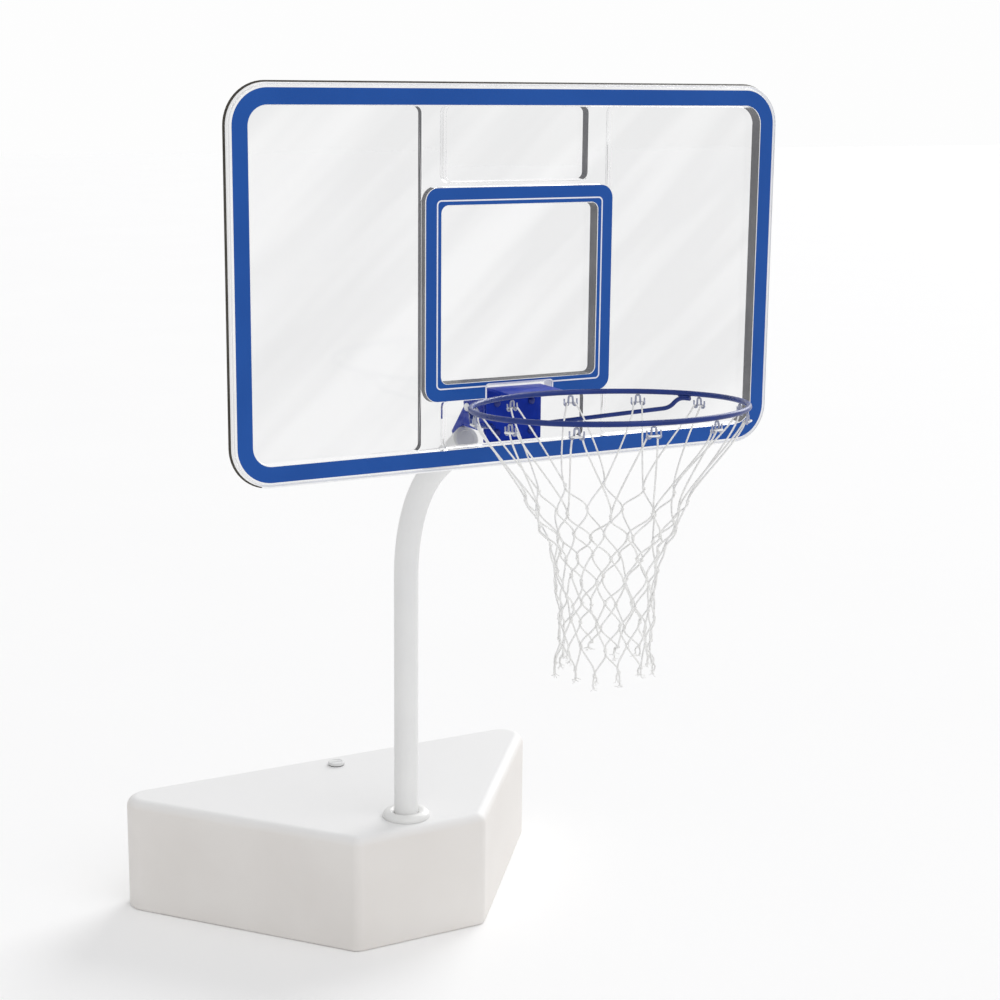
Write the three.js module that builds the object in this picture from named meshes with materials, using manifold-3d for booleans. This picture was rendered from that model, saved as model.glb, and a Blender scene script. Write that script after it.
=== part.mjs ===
// Poolside basketball hoop, in millimetres, +Z up.
// The water is on the -Y side. The origin is on the floor, under the pole's axis.

import * as THREE from 'three';
import { ConvexGeometry } from 'three/addons/geometries/ConvexGeometry.js';
import { mergeVertices } from 'three/addons/utils/BufferGeometryUtils.js';
import Module from 'manifold-3d';

const wasm = await Module();
wasm.setup();

// Fits, and the overrun of every cut
const seatGap = 0.3;
const boltClearance = 0.3;
const overrun = 20;

// Tank: a trapezoid in plan, narrow towards the water
const tankHeight = 250;
const tankFrontReach = 75;
const tankRearReach = 420;
const tankFrontHalfWidth = 150;
const tankRearHalfWidth = 545;
const tankFrontCornerRadius = 28;
const tankRearCornerRadius = 52;
const tankTopFillet = 22;
const tankFootFillet = 6;
const tankWall = 5;
const tankWellFloor = 8;
const waterSurfaceDrop = 49.7;

// Filler cap
const capReach = 356;
const capPlugRadius = 14.5;
const capPlugLength = 12;
const capThreadClearance = 0.5;
const capFlangeRadius = 18.5;
const capFlangeThickness = 6;
const capFlangeRounding = 2;
const capSlotWidth = 3.5;
const capSlotLength = 24;
const capSlotDepth = 2.5;
const gasketThickness = 2;
const gasketInset = 1;

// Pole and the sleeve that it stands in
const poleRadius = 25.4;
const poleWall = 2;
const poleSlideClearance = 0.4;
const sleeveWall = 3;
const sleeveFloor = 3;
const footPlugFlange = 4;
const footPlugLength = 24;
const poleBendStart = 775;
const poleBendRadius = 304;
const poleBendAngle = THREE.MathUtils.degToRad(56.5);
const poleTailLength = 139;
const endCapFlange = 7;
const endCapRounding = 4;
const endCapSpigotLength = 18;

// Collar round the pole on the tank's top
const collarRadius = 50;
const collarHeight = 14;
const collarLip = 3;
const collarCrownWidth = 8;
const collarRecessDepth = 5;
const collarClearance = 0.5;

// Backboard: its distance ahead of the pole's axis, the drop of its lower edge below the pole's top
// and its moulded steps
const boardReach = 460;
const boardDrop = 36.4;
const boardWidth = 1118;
const boardHeight = 686;
const boardCornerRadius = 75;
const boardSkirtDepth = 12;
const sheetThickness = 4;
const lipWidth = 11.5;
const bandWidth = 28;
const panelDepth = 23;
const panelCornerRadius = 14;
const pillarOuterHalfWidth = 192;
const pillarWidth = 46;
const pillarDepth = 13;
const windowDepth = 30;
const windowBottomGap = 8;
const targetHalfWidth = 191;
const targetBottomGap = 89.5;
const targetHeight = 376;
const targetBandWidth = 30;
const targetCornerRadius = 24;
const notchHalfWidth = 68;
const notchHeight = 24;
const filmThickness = 0.4;
const pinstripeInset = 21;
const pinstripeWidth = 2.5;
const pinstripeCornerRadius = 9;

// Rim bracket, its bolts and the ring
const bracketHalfWidth = 57;
const bracketThickness = 5;
const bracketBottomGap = 4.5;
const bracketTopGap = 8.5;
const rimBoltSpread = 36;
const rimBoltLowerRise = 16;
const rimBoltPitch = 55;
const rimBoltRadius = 4;
const rimBoltHeadRadius = 7;
const rimBoltHeadHeight = 4.5;
const rimNutAcrossCorners = 15;
const rimNutHeight = 6.5;
const rimBoltStickOut = 3;
const boltCrownShare = 0.7;
const boltChamferShare = 0.5;
const ringInnerRadius = 228.65;
const ringRodRadius = 4.75;
const ringReach = 765;
const ringRise = THREE.MathUtils.degToRad(3.1);

// Braces under the ring
const braceRadius = 4;
const braceFootSpread = 49;
const braceFootRise = 29;
const braceFootLength = 12;
const braceWeldAngle = THREE.MathUtils.degToRad(23);
const braceWeldLength = 24;
const braceKneeReach = 16;
const braceKneeDrop = 19;

// Net hooks: a wire bent into two cups, hung under the ring
const hookCount = 12;
const hookWireRadius = 1.8;
const hookCrownHalfWidth = 4.5;
const hookCupSpread = 10.5;
const hookCupRadius = 4.5;
const hookCupDrop = 17;
const hookTipRise = 9;

// Net: twine, rows of knots below the hooks, and loose tails
const twineRadius = 1.8;
const netCrossReach = 5.5;
const netFirstRowDrop = 148.5;
const netRowPitch = 40;
const netTailLength = 17;
const netRowRadiusShares = [0.6, 0.525, 0.428, 0.388, 0.363, 0.349, 0.352, 0.362];

// Carrier between the pole's end and the backboard
const lugThickness = 12;
const lugFootLength = 35;
const lugFootHeight = 7;
const lugTopRise = 58;
const lugReach = 86;
const carrierThickness = 5;
const carrierBottomGap = 2.5;
const carrierHeight = 83;
const cheekThickness = 6;
const cheekRearReach = 30;
const cheekLength = 61;
const cheekBottomRise = 8;
const cheekTopRise = 66;
const armBottomRise = 25;
const armHeight = 17;
const headBoltRadius = 5;
const headBoltHeadRadius = 8.5;
const headBoltHeadHeight = 6;
const headNutAcrossCorners = 18;
const headNutHeight = 8;
const headBoltStickOut = 3;
const headBoltEdgeDistance = 15;
const headBoltRise = 46;

// Numbers of facets
const roundSides = 24;
const poleSides = 24;
const fastenerSides = 12;
const nutSides = 6;
const bendSteps = 10;
const ringSides = 8;
const ringSteps = 60;
const rodSides = 8;
const hookSides = 5;
const hookCupSteps = 3;
const twineSides = 4;
const cornerSteps = 8;
const tankCornerSteps = 5;
const panelCornerSteps = 4;
const filletSteps = 4;

// A knot's corners and its two layers, in the order in which they are stored
const knotCornerOrder = ['top', 'right', 'bottom', 'left'];
const knotLayers = [1, -1];

// Sizes that follow from the ones above
const poleInnerRadius = poleRadius - poleWall;
const sleeveInnerRadius = poleRadius + poleSlideClearance;
const sleeveOuterRadius = sleeveInnerRadius + sleeveWall;
const wellRadius = sleeveOuterRadius + seatGap;
const footPlugBottom = tankWellFloor + sleeveFloor;
const poleFoot = footPlugBottom + footPlugFlange;
const fillerRadius = capPlugRadius + capThreadClearance;

const tailDirection = new THREE.Vector2(-Math.sin(poleBendAngle), Math.cos(poleBendAngle));
const tailNormal = new THREE.Vector2(Math.cos(poleBendAngle), Math.sin(poleBendAngle));
const bendEnd = new THREE.Vector2(
  -poleBendRadius * (1 - Math.cos(poleBendAngle)),
  poleBendStart + poleBendRadius * Math.sin(poleBendAngle),
);
const tailEnd = bendEnd.clone().addScaledVector(tailDirection, poleTailLength);
const tailTop = tailEnd.clone().addScaledVector(tailNormal, poleRadius);

const boardFront = -boardReach;
const boardBottom = tailTop.y - boardDrop;
const boardTop = boardBottom + boardHeight;
const panelFront = boardFront + panelDepth;
const panelBack = panelFront + sheetThickness;
const boardRect = rect(-boardWidth / 2, boardWidth / 2, boardBottom, boardTop);
const bandOuter = inset(boardRect, lipWidth);
const bandInner = inset(bandOuter, bandWidth);
const bandOuterRadius = boardCornerRadius - lipWidth;
const bandInnerRadius = bandOuterRadius - bandWidth;
const targetBottom = bandInner.bottom + targetBottomGap;
const targetOuter = rect(-targetHalfWidth, targetHalfWidth, targetBottom, targetBottom + targetHeight);
const targetInner = inset(targetOuter, targetBandWidth);
const middleHalfWidth = pillarOuterHalfWidth - pillarWidth;
const windowRect = rect(-middleHalfWidth, middleHalfWidth, targetOuter.top + windowBottomGap, bandInner.top);
const notchRect = rect(-notchHalfWidth, notchHalfWidth, targetBottom, targetBottom + notchHeight);

const bracketFront = panelFront - bracketThickness;
const bracketBottom = bandInner.bottom + bracketBottomGap;
const bracketTop = notchRect.top - bracketTopGap;
const ringRadius = ringInnerRadius + ringRodRadius;
const ringRearHeight = bracketTop - bracketThickness / 2;
const rimBoltPlaces = [-1, 1].flatMap((side) => [0, 1].map((row) => ({
  x: side * rimBoltSpread,
  z: bracketBottom + rimBoltLowerRise + row * rimBoltPitch,
})));

const carrierBack = panelBack + carrierThickness;
const cheekRear = tailTop.x - cheekRearReach;
const cheekFront = cheekRear - cheekLength;
const headBoltPlaces = [cheekRear - headBoltEdgeDistance, cheekFront + headBoltEdgeDistance];
const headBoltHeight = tailTop.y + headBoltRise;
const cheekOuter = lugThickness / 2 + seatGap + cheekThickness;

// Materials
const white = material(0xf2f2ef, 0.5, 0);
const translucentWater = material(0xbfd8e2, 0.3, 0);
const poleGrey = material(0xd6d6d2, 0.45, 0.1);
const capGrey = material(0xd8d9d8, 0.6, 0);
const softGrey = material(0xb9b9b5, 0.6, 0);
const clearSheet = material(0xeef1f3, 0.15, 0);
const bandBlue = material(0x234ba0, 0.35, 0);
const stripeWhite = material(0xdcdcf4, 0.4, 0);
const steelBlue = material(0x192d8c, 0.4, 0.2);
const boltSteel = material(0xb4b7ba, 0.35, 0.9);
const boltBlue = material(0x1b2c78, 0.4, 0.3);
const hookGrey = material(0x9a9c9e, 0.4, 0.8);
const twineWhite = material(0xf4f3ee, 0.9, 0);
const rubberBlack = material(0x2b2b2b, 0.8, 0);

function material(color, roughness, metalness) {
  return new THREE.MeshStandardMaterial({ color, roughness, metalness });
}

// Flat shapes

function rect(left, right, bottom, top) {
  return { left, right, bottom, top };
}

function inset(area, amount) {
  return rect(area.left + amount, area.right - amount, area.bottom + amount, area.top - amount);
}

// A corner is no rounder than half of the shorter side allows
function traceRoundedRect(path, area, wantedRadius) {
  const { left, right, bottom, top } = area;
  const radius = Math.min(wantedRadius, (right - left) / 2, (top - bottom) / 2);
  path.moveTo(left + radius, bottom);
  path.lineTo(right - radius, bottom);
  path.absarc(right - radius, bottom + radius, radius, -Math.PI / 2, 0, false);
  path.lineTo(right, top - radius);
  path.absarc(right - radius, top - radius, radius, 0, Math.PI / 2, false);
  path.lineTo(left + radius, top);
  path.absarc(left + radius, top - radius, radius, Math.PI / 2, Math.PI, false);
  path.lineTo(left, bottom + radius);
  path.absarc(left + radius, bottom + radius, radius, Math.PI, 1.5 * Math.PI, false);
  return path;
}

function roundedRect(area, radius) {
  return traceRoundedRect(new THREE.Shape(), area, radius);
}

function frameShape(outer, outerRadius, inner, innerRadius) {
  const shape = roundedRect(outer, outerRadius);
  shape.holes.push(traceRoundedRect(new THREE.Path(), inner, innerRadius));
  return shape;
}

function circleShape(radius, sides) {
  const corners = Array.from({ length: sides }, (_, index) => {
    const angle = (2 * Math.PI * index) / sides;
    return new THREE.Vector2(radius * Math.cos(angle), radius * Math.sin(angle));
  });
  return new THREE.Shape(corners);
}

// Solids from three.js geometries, and their cuts

function solid(geometry) {
  const bare = geometry.clone();
  bare.deleteAttribute('normal');
  bare.deleteAttribute('uv');
  const merged = mergeVertices(bare);
  return new wasm.Manifold(new wasm.Mesh({
    numProp: 3,
    vertProperties: new Float32Array(merged.attributes.position.array),
    triVerts: new Uint32Array(merged.index.array),
  }));
}

function geometryOf(body) {
  const { vertProperties, triVerts } = body.getMesh();
  const geometry = new THREE.BufferGeometry();
  geometry.setAttribute('position', new THREE.BufferAttribute(vertProperties, 3));
  geometry.setIndex(new THREE.BufferAttribute(triVerts, 1));
  geometry.computeVertexNormals();
  return geometry;
}

function union(bodies) {
  return bodies.reduce((whole, body) => whole.add(body));
}

function difference(body, cutters) {
  return cutters.reduce((rest, cutter) => rest.subtract(cutter), body);
}

function boxGeometry(area, front, back) {
  const width = area.right - area.left;
  const height = area.top - area.bottom;
  const geometry = new THREE.BoxGeometry(width, back - front, height);
  return geometry.translate(area.left + width / 2, (front + back) / 2, area.bottom + height / 2);
}

// A shape drawn in X and Z, made thick along Y
function slabGeometry(shape, front, back, curveSegments = cornerSteps) {
  const geometry = new THREE.ExtrudeGeometry(shape, {
    depth: back - front, bevelEnabled: false, curveSegments,
  });
  return geometry.rotateX(Math.PI / 2).translate(0, back, 0);
}

// A shape drawn in Y and Z, made thick along X
function cheekGeometry(shape, left, right) {
  const geometry = new THREE.ExtrudeGeometry(shape, { depth: right - left, bevelEnabled: false });
  const turn = new THREE.Matrix4().set(0, 0, 1, 0, 1, 0, 0, 0, 0, 1, 0, 0, 0, 0, 0, 1);
  return geometry.applyMatrix4(turn).translate(left, 0, 0);
}

function rod(radius, bottom, top, sides = roundSides) {
  const geometry = new THREE.CylinderGeometry(radius, radius, top - bottom, sides);
  return geometry.rotateX(Math.PI / 2).translate(0, 0, (bottom + top) / 2);
}

// A turned piece round the Z axis; its profile lists radius and height
function turned(profile, sides = roundSides) {
  const points = profile.map(([radius, height]) => new THREE.Vector2(radius, height));
  return new THREE.LatheGeometry([...points, points[0]], sides).rotateX(Math.PI / 2);
}

// A line through stations, with one section of the extrusion at each station
class Route extends THREE.Curve {
  constructor(stations) {
    super();
    this.stations = stations;
  }

  getPoint(t, target = new THREE.Vector3()) {
    const last = this.stations.length - 1;
    const index = Math.min(Math.floor(t * last), last - 1);
    return target.lerpVectors(this.stations[index], this.stations[index + 1], t * last - index);
  }

  getUtoTmapping(u) {
    return u;
  }
}

function tube(stations, section) {
  return new THREE.ExtrudeGeometry(section, {
    steps: stations.length - 1, extrudePath: new Route(stations), bevelEnabled: false,
  });
}

function arcPoints(centre, radius, from, to, steps) {
  return Array.from({ length: steps + 1 }, (_, index) => {
    const angle = THREE.MathUtils.lerp(from, to, index / steps);
    return new THREE.Vector2(centre.x + radius * Math.cos(angle), centre.y + radius * Math.sin(angle));
  });
}

// Assembly: each sub-part is a named mesh, in the hoop's group or in the group of the ring's plane,
// which rises from where the ring meets its bracket

const hoop = new THREE.Group();
const rimPlane = new THREE.Group();
rimPlane.position.set(0, ringRadius - ringReach, ringRearHeight);
rimPlane.rotation.x = -ringRise;
rimPlane.updateMatrix();
hoop.add(rimPlane);

function addPart(name, geometry, look, place, group = hoop) {
  const mesh = new THREE.Mesh(geometry, look);
  mesh.name = name;
  if (place) mesh.position.copy(place);
  group.add(mesh);
  return mesh;
}

// Tank

function tankSideAt(y) {
  const share = (y + tankFrontReach) / (tankFrontReach + tankRearReach);
  return THREE.MathUtils.lerp(tankFrontHalfWidth, tankRearHalfWidth, share);
}

function tankOutline(amount, height) {
  const lean = Math.atan2(tankRearHalfWidth - tankFrontHalfWidth, tankFrontReach + tankRearReach);
  const corners = [
    { radius: tankFrontCornerRadius, edge: -tankFrontReach, inward: 1, from: -Math.PI / 2, to: -lean },
    { radius: tankRearCornerRadius, edge: tankRearReach, inward: -1, from: -lean, to: Math.PI / 2 },
  ];
  return corners.flatMap(({ radius, edge, inward, from, to }) => {
    const reach = Math.max(radius, amount);
    const y = edge + inward * reach;
    const centre = new THREE.Vector2(tankSideAt(y) - reach / Math.cos(lean), y);
    return arcPoints(centre, reach - amount, from, to, tankCornerSteps).flatMap((point) => [
      new THREE.Vector3(point.x, point.y, height),
      new THREE.Vector3(-point.x, point.y, height),
    ]);
  });
}

function tankBlock(amount, bottom, top, footFillet, topFillet) {
  const points = [];
  for (let step = 0; step <= filletSteps; step += 1) {
    const angle = (Math.PI / 2) * (step / filletSteps);
    const sine = Math.sin(angle);
    const cosine = Math.cos(angle);
    points.push(...tankOutline(amount + footFillet * (1 - sine), bottom + footFillet * (1 - cosine)));
    points.push(...tankOutline(amount + topFillet * (1 - cosine), top - topFillet * (1 - sine)));
  }
  return solid(new ConvexGeometry(points));
}

function wellColumn(radius) {
  return solid(rod(radius, -overrun, tankHeight + overrun));
}

function tankGeometry() {
  const shell = tankBlock(0, 0, tankHeight, tankFootFillet, tankTopFillet);
  const hollow = tankBlock(
    tankWall, tankWall, tankHeight - tankWall, tankFootFillet - tankWall, tankTopFillet - tankWall,
  ).subtract(wellColumn(wellRadius + tankWall));
  const well = solid(rod(wellRadius, tankWellFloor, tankHeight + overrun));
  const filler = rod(fillerRadius, tankHeight - overrun, tankHeight + overrun).translate(0, capReach, 0);
  return geometryOf(difference(shell, [hollow, well, solid(filler)]));
}

function waterGeometry() {
  const gap = tankWall + seatGap;
  const block = tankBlock(gap, gap, tankHeight - waterSurfaceDrop, tankFootFillet - tankWall, 0);
  return geometryOf(block.subtract(wellColumn(wellRadius + tankWall + seatGap)));
}

function addTank() {
  addPart('base_tank', tankGeometry(), white);
  addPart('water_ballast', waterGeometry(), translucentWater);
}

// Filler cap, screwed down on a gasket

function fillCapGeometry() {
  const top = gasketThickness + capFlangeThickness;
  const body = solid(turned([
    [0, gasketThickness - capPlugLength],
    [capPlugRadius, gasketThickness - capPlugLength],
    [capPlugRadius, gasketThickness],
    [capFlangeRadius, gasketThickness],
    [capFlangeRadius, top - capFlangeRounding],
    [capFlangeRadius - capFlangeRounding, top],
    [0, top],
  ]));
  const slot = new THREE.BoxGeometry(capSlotLength, capSlotWidth, capSlotDepth * 2).translate(0, 0, top);
  return geometryOf(body.subtract(solid(slot)));
}

function gasketGeometry() {
  const inner = capPlugRadius + seatGap;
  const outer = capFlangeRadius - gasketInset;
  return turned([[inner, 0], [outer, 0], [outer, gasketThickness], [inner, gasketThickness]]);
}

function addFillCap() {
  const place = new THREE.Vector3(0, capReach, tankHeight);
  addPart('fill_cap', fillCapGeometry(), capGrey, place);
  addPart('fill_cap_gasket', gasketGeometry(), rubberBlack, place);
}

// Sleeve, pole, its plugs and collar

function sleeveGeometry() {
  return turned([
    [0, tankWellFloor],
    [sleeveOuterRadius, tankWellFloor],
    [sleeveOuterRadius, tankHeight],
    [sleeveInnerRadius, tankHeight],
    [sleeveInnerRadius, tankWellFloor + sleeveFloor],
    [0, tankWellFloor + sleeveFloor],
  ]);
}

function poleGeometry() {
  const centre = new THREE.Vector2(-poleBendRadius, poleBendStart);
  const bend = arcPoints(centre, poleBendRadius, 0, poleBendAngle, bendSteps);
  const line = [new THREE.Vector2(0, poleFoot), ...bend, tailEnd];
  const section = circleShape(poleRadius, poleSides);
  section.holes.push(circleShape(poleInnerRadius, poleSides));
  return tube(line.map((point) => new THREE.Vector3(0, point.x, point.y)), section);
}

function footPlugGeometry() {
  const spigot = poleInnerRadius - seatGap;
  return turned([
    [0, footPlugBottom],
    [poleRadius, footPlugBottom],
    [poleRadius, poleFoot],
    [spigot, poleFoot],
    [spigot, footPlugBottom + footPlugLength],
    [0, footPlugBottom + footPlugLength],
  ], poleSides);
}

function endCapGeometry() {
  const spigot = poleInnerRadius - seatGap * 2;
  return turned([
    [0, -endCapSpigotLength],
    [spigot, -endCapSpigotLength],
    [spigot, seatGap],
    [poleRadius, seatGap],
    [poleRadius, endCapFlange - endCapRounding],
    [poleRadius - endCapRounding, endCapFlange],
    [0, endCapFlange],
  ], poleSides);
}

function collarGeometry() {
  const bore = poleRadius + collarClearance;
  const crown = bore + collarCrownWidth;
  const dome = new THREE.EllipseCurve(
    crown, collarLip, collarRadius - crown, collarHeight - collarLip, 0, Math.PI / 2,
  ).getPoints(cornerSteps).map(({ x, y }) => [x, y]);
  return turned([[bore, 0], [collarRadius, 0], ...dome, [bore, collarHeight - collarRecessDepth]]);
}

function addPole() {
  addPart('pole_sleeve', sleeveGeometry(), softGrey);
  addPart('pole_collar', collarGeometry(), white, new THREE.Vector3(0, 0, tankHeight));
  addPart('pole', poleGeometry(), poleGrey);
  addPart('pole_foot_plug', footPlugGeometry(), rubberBlack);
  const mouth = new THREE.Vector3(0, tailEnd.x, tailEnd.y);
  const cap = addPart('pole_end_cap', endCapGeometry(), softGrey, mouth);
  cap.rotation.x = poleBendAngle;
}

// Backboard: a thin moulded sheet, with its steps cut from the front and relieved from the back

function sheetSlab(area, radius, from, to, steps = cornerSteps) {
  return solid(slabGeometry(roundedRect(area, radius), boardFront + from, boardFront + to, steps));
}

function panelSlab(area, from, to) {
  return sheetSlab(area, panelCornerRadius, from, to, panelCornerSteps);
}

function sheetBox(area, from, to) {
  return solid(boxGeometry(area, boardFront + from, boardFront + to));
}

function sheetBlock() {
  const fieldWall = inset(bandInner, -sheetThickness);
  const windowWall = inset(windowRect, -sheetThickness);
  return union([
    sheetSlab(boardRect, boardCornerRadius, 0, boardSkirtDepth),
    sheetSlab(fieldWall, bandInnerRadius + sheetThickness, 0, panelDepth + sheetThickness),
    panelSlab(windowWall, 0, windowDepth + sheetThickness),
  ]);
}

function sheetRelief() {
  const fieldWall = inset(bandInner, -sheetThickness);
  const innerWall = inset(targetInner, -sheetThickness);
  const deep = windowDepth + sheetThickness + overrun;
  const targetCore = panelSlab(innerWall, -overrun, deep);
  const skirt = sheetSlab(
    inset(boardRect, sheetThickness), boardCornerRadius - sheetThickness, sheetThickness, deep,
  ).subtract(sheetSlab(fieldWall, bandInnerRadius + sheetThickness, -overrun, deep));
  const notchWall = rect(
    notchRect.left - sheetThickness, notchRect.right + sheetThickness, targetOuter.bottom, innerWall.bottom,
  );
  const target = difference(
    sheetSlab(inset(targetOuter, sheetThickness), targetCornerRadius - sheetThickness, sheetThickness, deep),
    [targetCore, sheetBox(notchWall, -overrun, deep)],
  );
  const pillars = [-1, 1].map((side) => {
    const edges = [middleHalfWidth + sheetThickness, pillarOuterHalfWidth - sheetThickness];
    const [left, right] = edges.map((edge) => side * edge).sort((a, b) => a - b);
    const pillar = rect(left, right, bandInner.bottom, bandInner.top);
    return sheetBox(pillar, pillarDepth + sheetThickness, deep).subtract(targetCore);
  });
  return [skirt, target, ...pillars];
}

function sheetPockets() {
  const field = sheetSlab(bandInner, bandInnerRadius, -overrun, panelDepth);
  const sides = [-1, 1].map((side) => {
    const edges = [side * pillarOuterHalfWidth, side * bandInner.right].sort((a, b) => a - b);
    const panel = rect(edges[0], edges[1], bandInner.bottom, bandInner.top);
    return panelSlab(panel, -overrun, panelDepth).intersect(field);
  });
  const lower = rect(-middleHalfWidth, middleHalfWidth, bandInner.bottom, targetOuter.bottom);
  const pillarStep = sheetSlab(bandInner, bandInnerRadius, -overrun, pillarDepth)
    .subtract(sheetSlab(targetOuter, targetCornerRadius, -overrun, pillarDepth + overrun));
  const notch = rect(notchRect.left, notchRect.right, lower.top - panelCornerRadius, notchRect.top);
  return [
    pillarStep,
    ...sides,
    panelSlab(lower, -overrun, panelDepth),
    panelSlab(targetInner, -overrun, panelDepth),
    panelSlab(windowRect, -overrun, windowDepth),
    sheetBox(notch, -overrun, panelDepth),
  ];
}

function rimBoltHoles(front, back) {
  return rimBoltPlaces.map(({ x, z }) => solid(
    rod(rimBoltRadius + boltClearance, -back, -front, fastenerSides).rotateX(Math.PI / 2).translate(x, 0, z),
  ));
}

function backboardGeometry() {
  const holes = rimBoltHoles(panelFront - overrun, panelBack + overrun);
  return geometryOf(difference(sheetBlock(), [...sheetRelief(), ...sheetPockets(), ...holes]));
}

function borderBandGeometry() {
  const shape = frameShape(bandOuter, bandOuterRadius, bandInner, bandInnerRadius);
  return slabGeometry(shape, boardFront - filmThickness, boardFront);
}

function notchedFilm(shape, layer) {
  const front = boardFront - filmThickness * layer;
  const film = solid(slabGeometry(shape, front, front + filmThickness, panelCornerSteps));
  const notch = rect(notchRect.left, notchRect.right, targetOuter.bottom - overrun, notchRect.top);
  return geometryOf(film.subtract(sheetBox(notch, -overrun, overrun)));
}

function targetFrameGeometry() {
  return notchedFilm(frameShape(targetOuter, targetCornerRadius, targetInner, panelCornerRadius), 1);
}

function pinstripeGeometry() {
  const outer = inset(targetOuter, pinstripeInset);
  const inner = inset(outer, pinstripeWidth);
  const innerRadius = pinstripeCornerRadius - pinstripeWidth;
  return notchedFilm(frameShape(outer, pinstripeCornerRadius, inner, innerRadius), 2);
}

function addBackboard() {
  addPart('backboard_sheet', backboardGeometry(), clearSheet);
  addPart('border_band', borderBandGeometry(), bandBlue);
  addPart('target_frame', targetFrameGeometry(), bandBlue);
  addPart('target_pinstripe', pinstripeGeometry(), stripeWhite);
}

// Rim: bracket, bolts, ring and braces

function bracketGeometry() {
  const plate = rect(-bracketHalfWidth, bracketHalfWidth, bracketBottom, bracketTop);
  const back = solid(boxGeometry(plate, bracketFront, panelFront));
  const shelf = rect(plate.left, plate.right, bracketTop - bracketThickness, bracketTop);
  const top = solid(boxGeometry(shelf, -ringReach + ringRadius - ringRodRadius, panelFront));
  const bite = solid(
    rod(ringRadius + ringRodRadius + seatGap, bracketTop - overrun, bracketTop + overrun, ringSteps)
      .translate(0, -ringReach, 0),
  );
  const holes = rimBoltHoles(bracketFront - overrun, panelFront + overrun);
  return geometryOf(difference(back.add(top), [bite, ...holes]));
}

function boltGeometry(radius, headRadius, headHeight, length) {
  return turned([
    [0, 0],
    [headRadius * boltCrownShare, 0],
    [headRadius, headHeight * boltChamferShare],
    [headRadius, headHeight],
    [radius, headHeight],
    [radius, headHeight + length],
    [0, headHeight + length],
  ], fastenerSides);
}

function nutGeometry(acrossCorners, height, boreRadius) {
  const shape = circleShape(acrossCorners / 2, nutSides);
  shape.holes.push(circleShape(boreRadius, fastenerSides));
  return new THREE.ExtrudeGeometry(shape, { depth: height, bevelEnabled: false });
}

function addRimBolts() {
  const grip = carrierBack - bracketFront + seatGap * 2;
  rimBoltPlaces.forEach(({ x, z }, index) => {
    const length = grip + rimNutHeight + rimBoltStickOut;
    const bolt = boltGeometry(rimBoltRadius, rimBoltHeadRadius, rimBoltHeadHeight, length);
    bolt.rotateX(-Math.PI / 2);
    const head = new THREE.Vector3(x, bracketFront - seatGap - rimBoltHeadHeight, z);
    addPart(`rim_bolt_${index + 1}`, bolt, boltBlue, head);
    const nut = nutGeometry(rimNutAcrossCorners, rimNutHeight, rimBoltRadius + boltClearance);
    nut.rotateX(-Math.PI / 2);
    addPart(`rim_nut_${index + 1}`, nut, boltSteel, new THREE.Vector3(x, carrierBack + seatGap, z));
  });
}

function ringGeometry() {
  return new THREE.TorusGeometry(ringRadius, ringRodRadius, ringSides, ringSteps);
}

// A point in the ring's plane, in that plane's own frame: outward and up from the rod's centre line
function besideRing(angle, outward, up) {
  const radius = ringRadius + outward;
  return new THREE.Vector3(radius * Math.cos(angle), radius * Math.sin(angle) - ringRadius, up);
}

function braceGeometry(side) {
  const up = -ringRodRadius - seatGap - braceRadius;
  const halfSpan = braceWeldLength / ringRadius / 2;
  const weld = [1, 0, -1].map((step) => (
    besideRing(braceWeldAngle + step * halfSpan, 0, up).applyMatrix4(rimPlane.matrix)
  ));
  const foot = new THREE.Vector3(braceFootSpread, bracketFront - seatGap, bracketBottom + braceFootRise);
  const elbow = foot.clone().add(new THREE.Vector3(0, -braceFootLength, 0));
  const towards = weld[0].clone().sub(elbow).setZ(0).normalize();
  const knee = weld[0].clone().addScaledVector(towards, -braceKneeReach);
  knee.z -= braceKneeDrop;
  const stations = [foot, elbow, knee, ...weld];
  const placed = stations.map((point) => new THREE.Vector3(side * point.x, point.y, point.z));
  return tube(placed, circleShape(braceRadius, rodSides));
}

function addRim() {
  addPart('rim_bracket', bracketGeometry(), steelBlue);
  addRimBolts();
  addPart('rim_ring', ringGeometry(), steelBlue, new THREE.Vector3(0, -ringRadius, 0), rimPlane);
  addPart('brace_left', braceGeometry(-1), steelBlue);
  addPart('brace_right', braceGeometry(1), steelBlue);
}

// Net hooks: the wire is drawn along the ring and down, then turned to its place

function hookStations() {
  const crown = -hookWireRadius - seatGap;
  const cupBottom = crown - hookCupDrop;
  const cupCentre = new THREE.Vector2(hookCupSpread, cupBottom + hookCupRadius);
  const cup = arcPoints(cupCentre, hookCupRadius, Math.PI, 2 * Math.PI, hookCupSteps);
  const half = [
    new THREE.Vector2(hookCrownHalfWidth, crown),
    ...cup,
    new THREE.Vector2(hookCupSpread + hookCupRadius, cupCentre.y + hookTipRise),
  ];
  const mirrored = half.map((point) => new THREE.Vector2(-point.x, point.y)).reverse();
  const line = [...mirrored, new THREE.Vector2(0, crown), ...half];
  return line.map((point) => new THREE.Vector3(point.x, 0, point.y));
}

function hookAngle(index) {
  return (2 * Math.PI * (index + 0.5)) / hookCount;
}

function addHooks() {
  for (let index = 0; index < hookCount; index += 1) {
    const angle = hookAngle(index);
    const name = `net_hook_${String(index + 1).padStart(2, '0')}`;
    const wire = tube(hookStations(), circleShape(hookWireRadius, hookSides));
    const hook = addPart(name, wire, hookGrey, besideRing(angle, 0, -ringRodRadius), rimPlane);
    hook.rotation.z = angle + Math.PI / 2;
  }
}

// Net: a lattice of knots and strands, hung from loops through the hooks' cups

function aroundNet(angle, radius, height) {
  return new THREE.Vector3(radius * Math.cos(angle), radius * Math.sin(angle) - ringReach, height);
}

function knotAngle(row, column) {
  return (2 * Math.PI * (column + (row % 2) / 2)) / hookCount;
}

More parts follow.
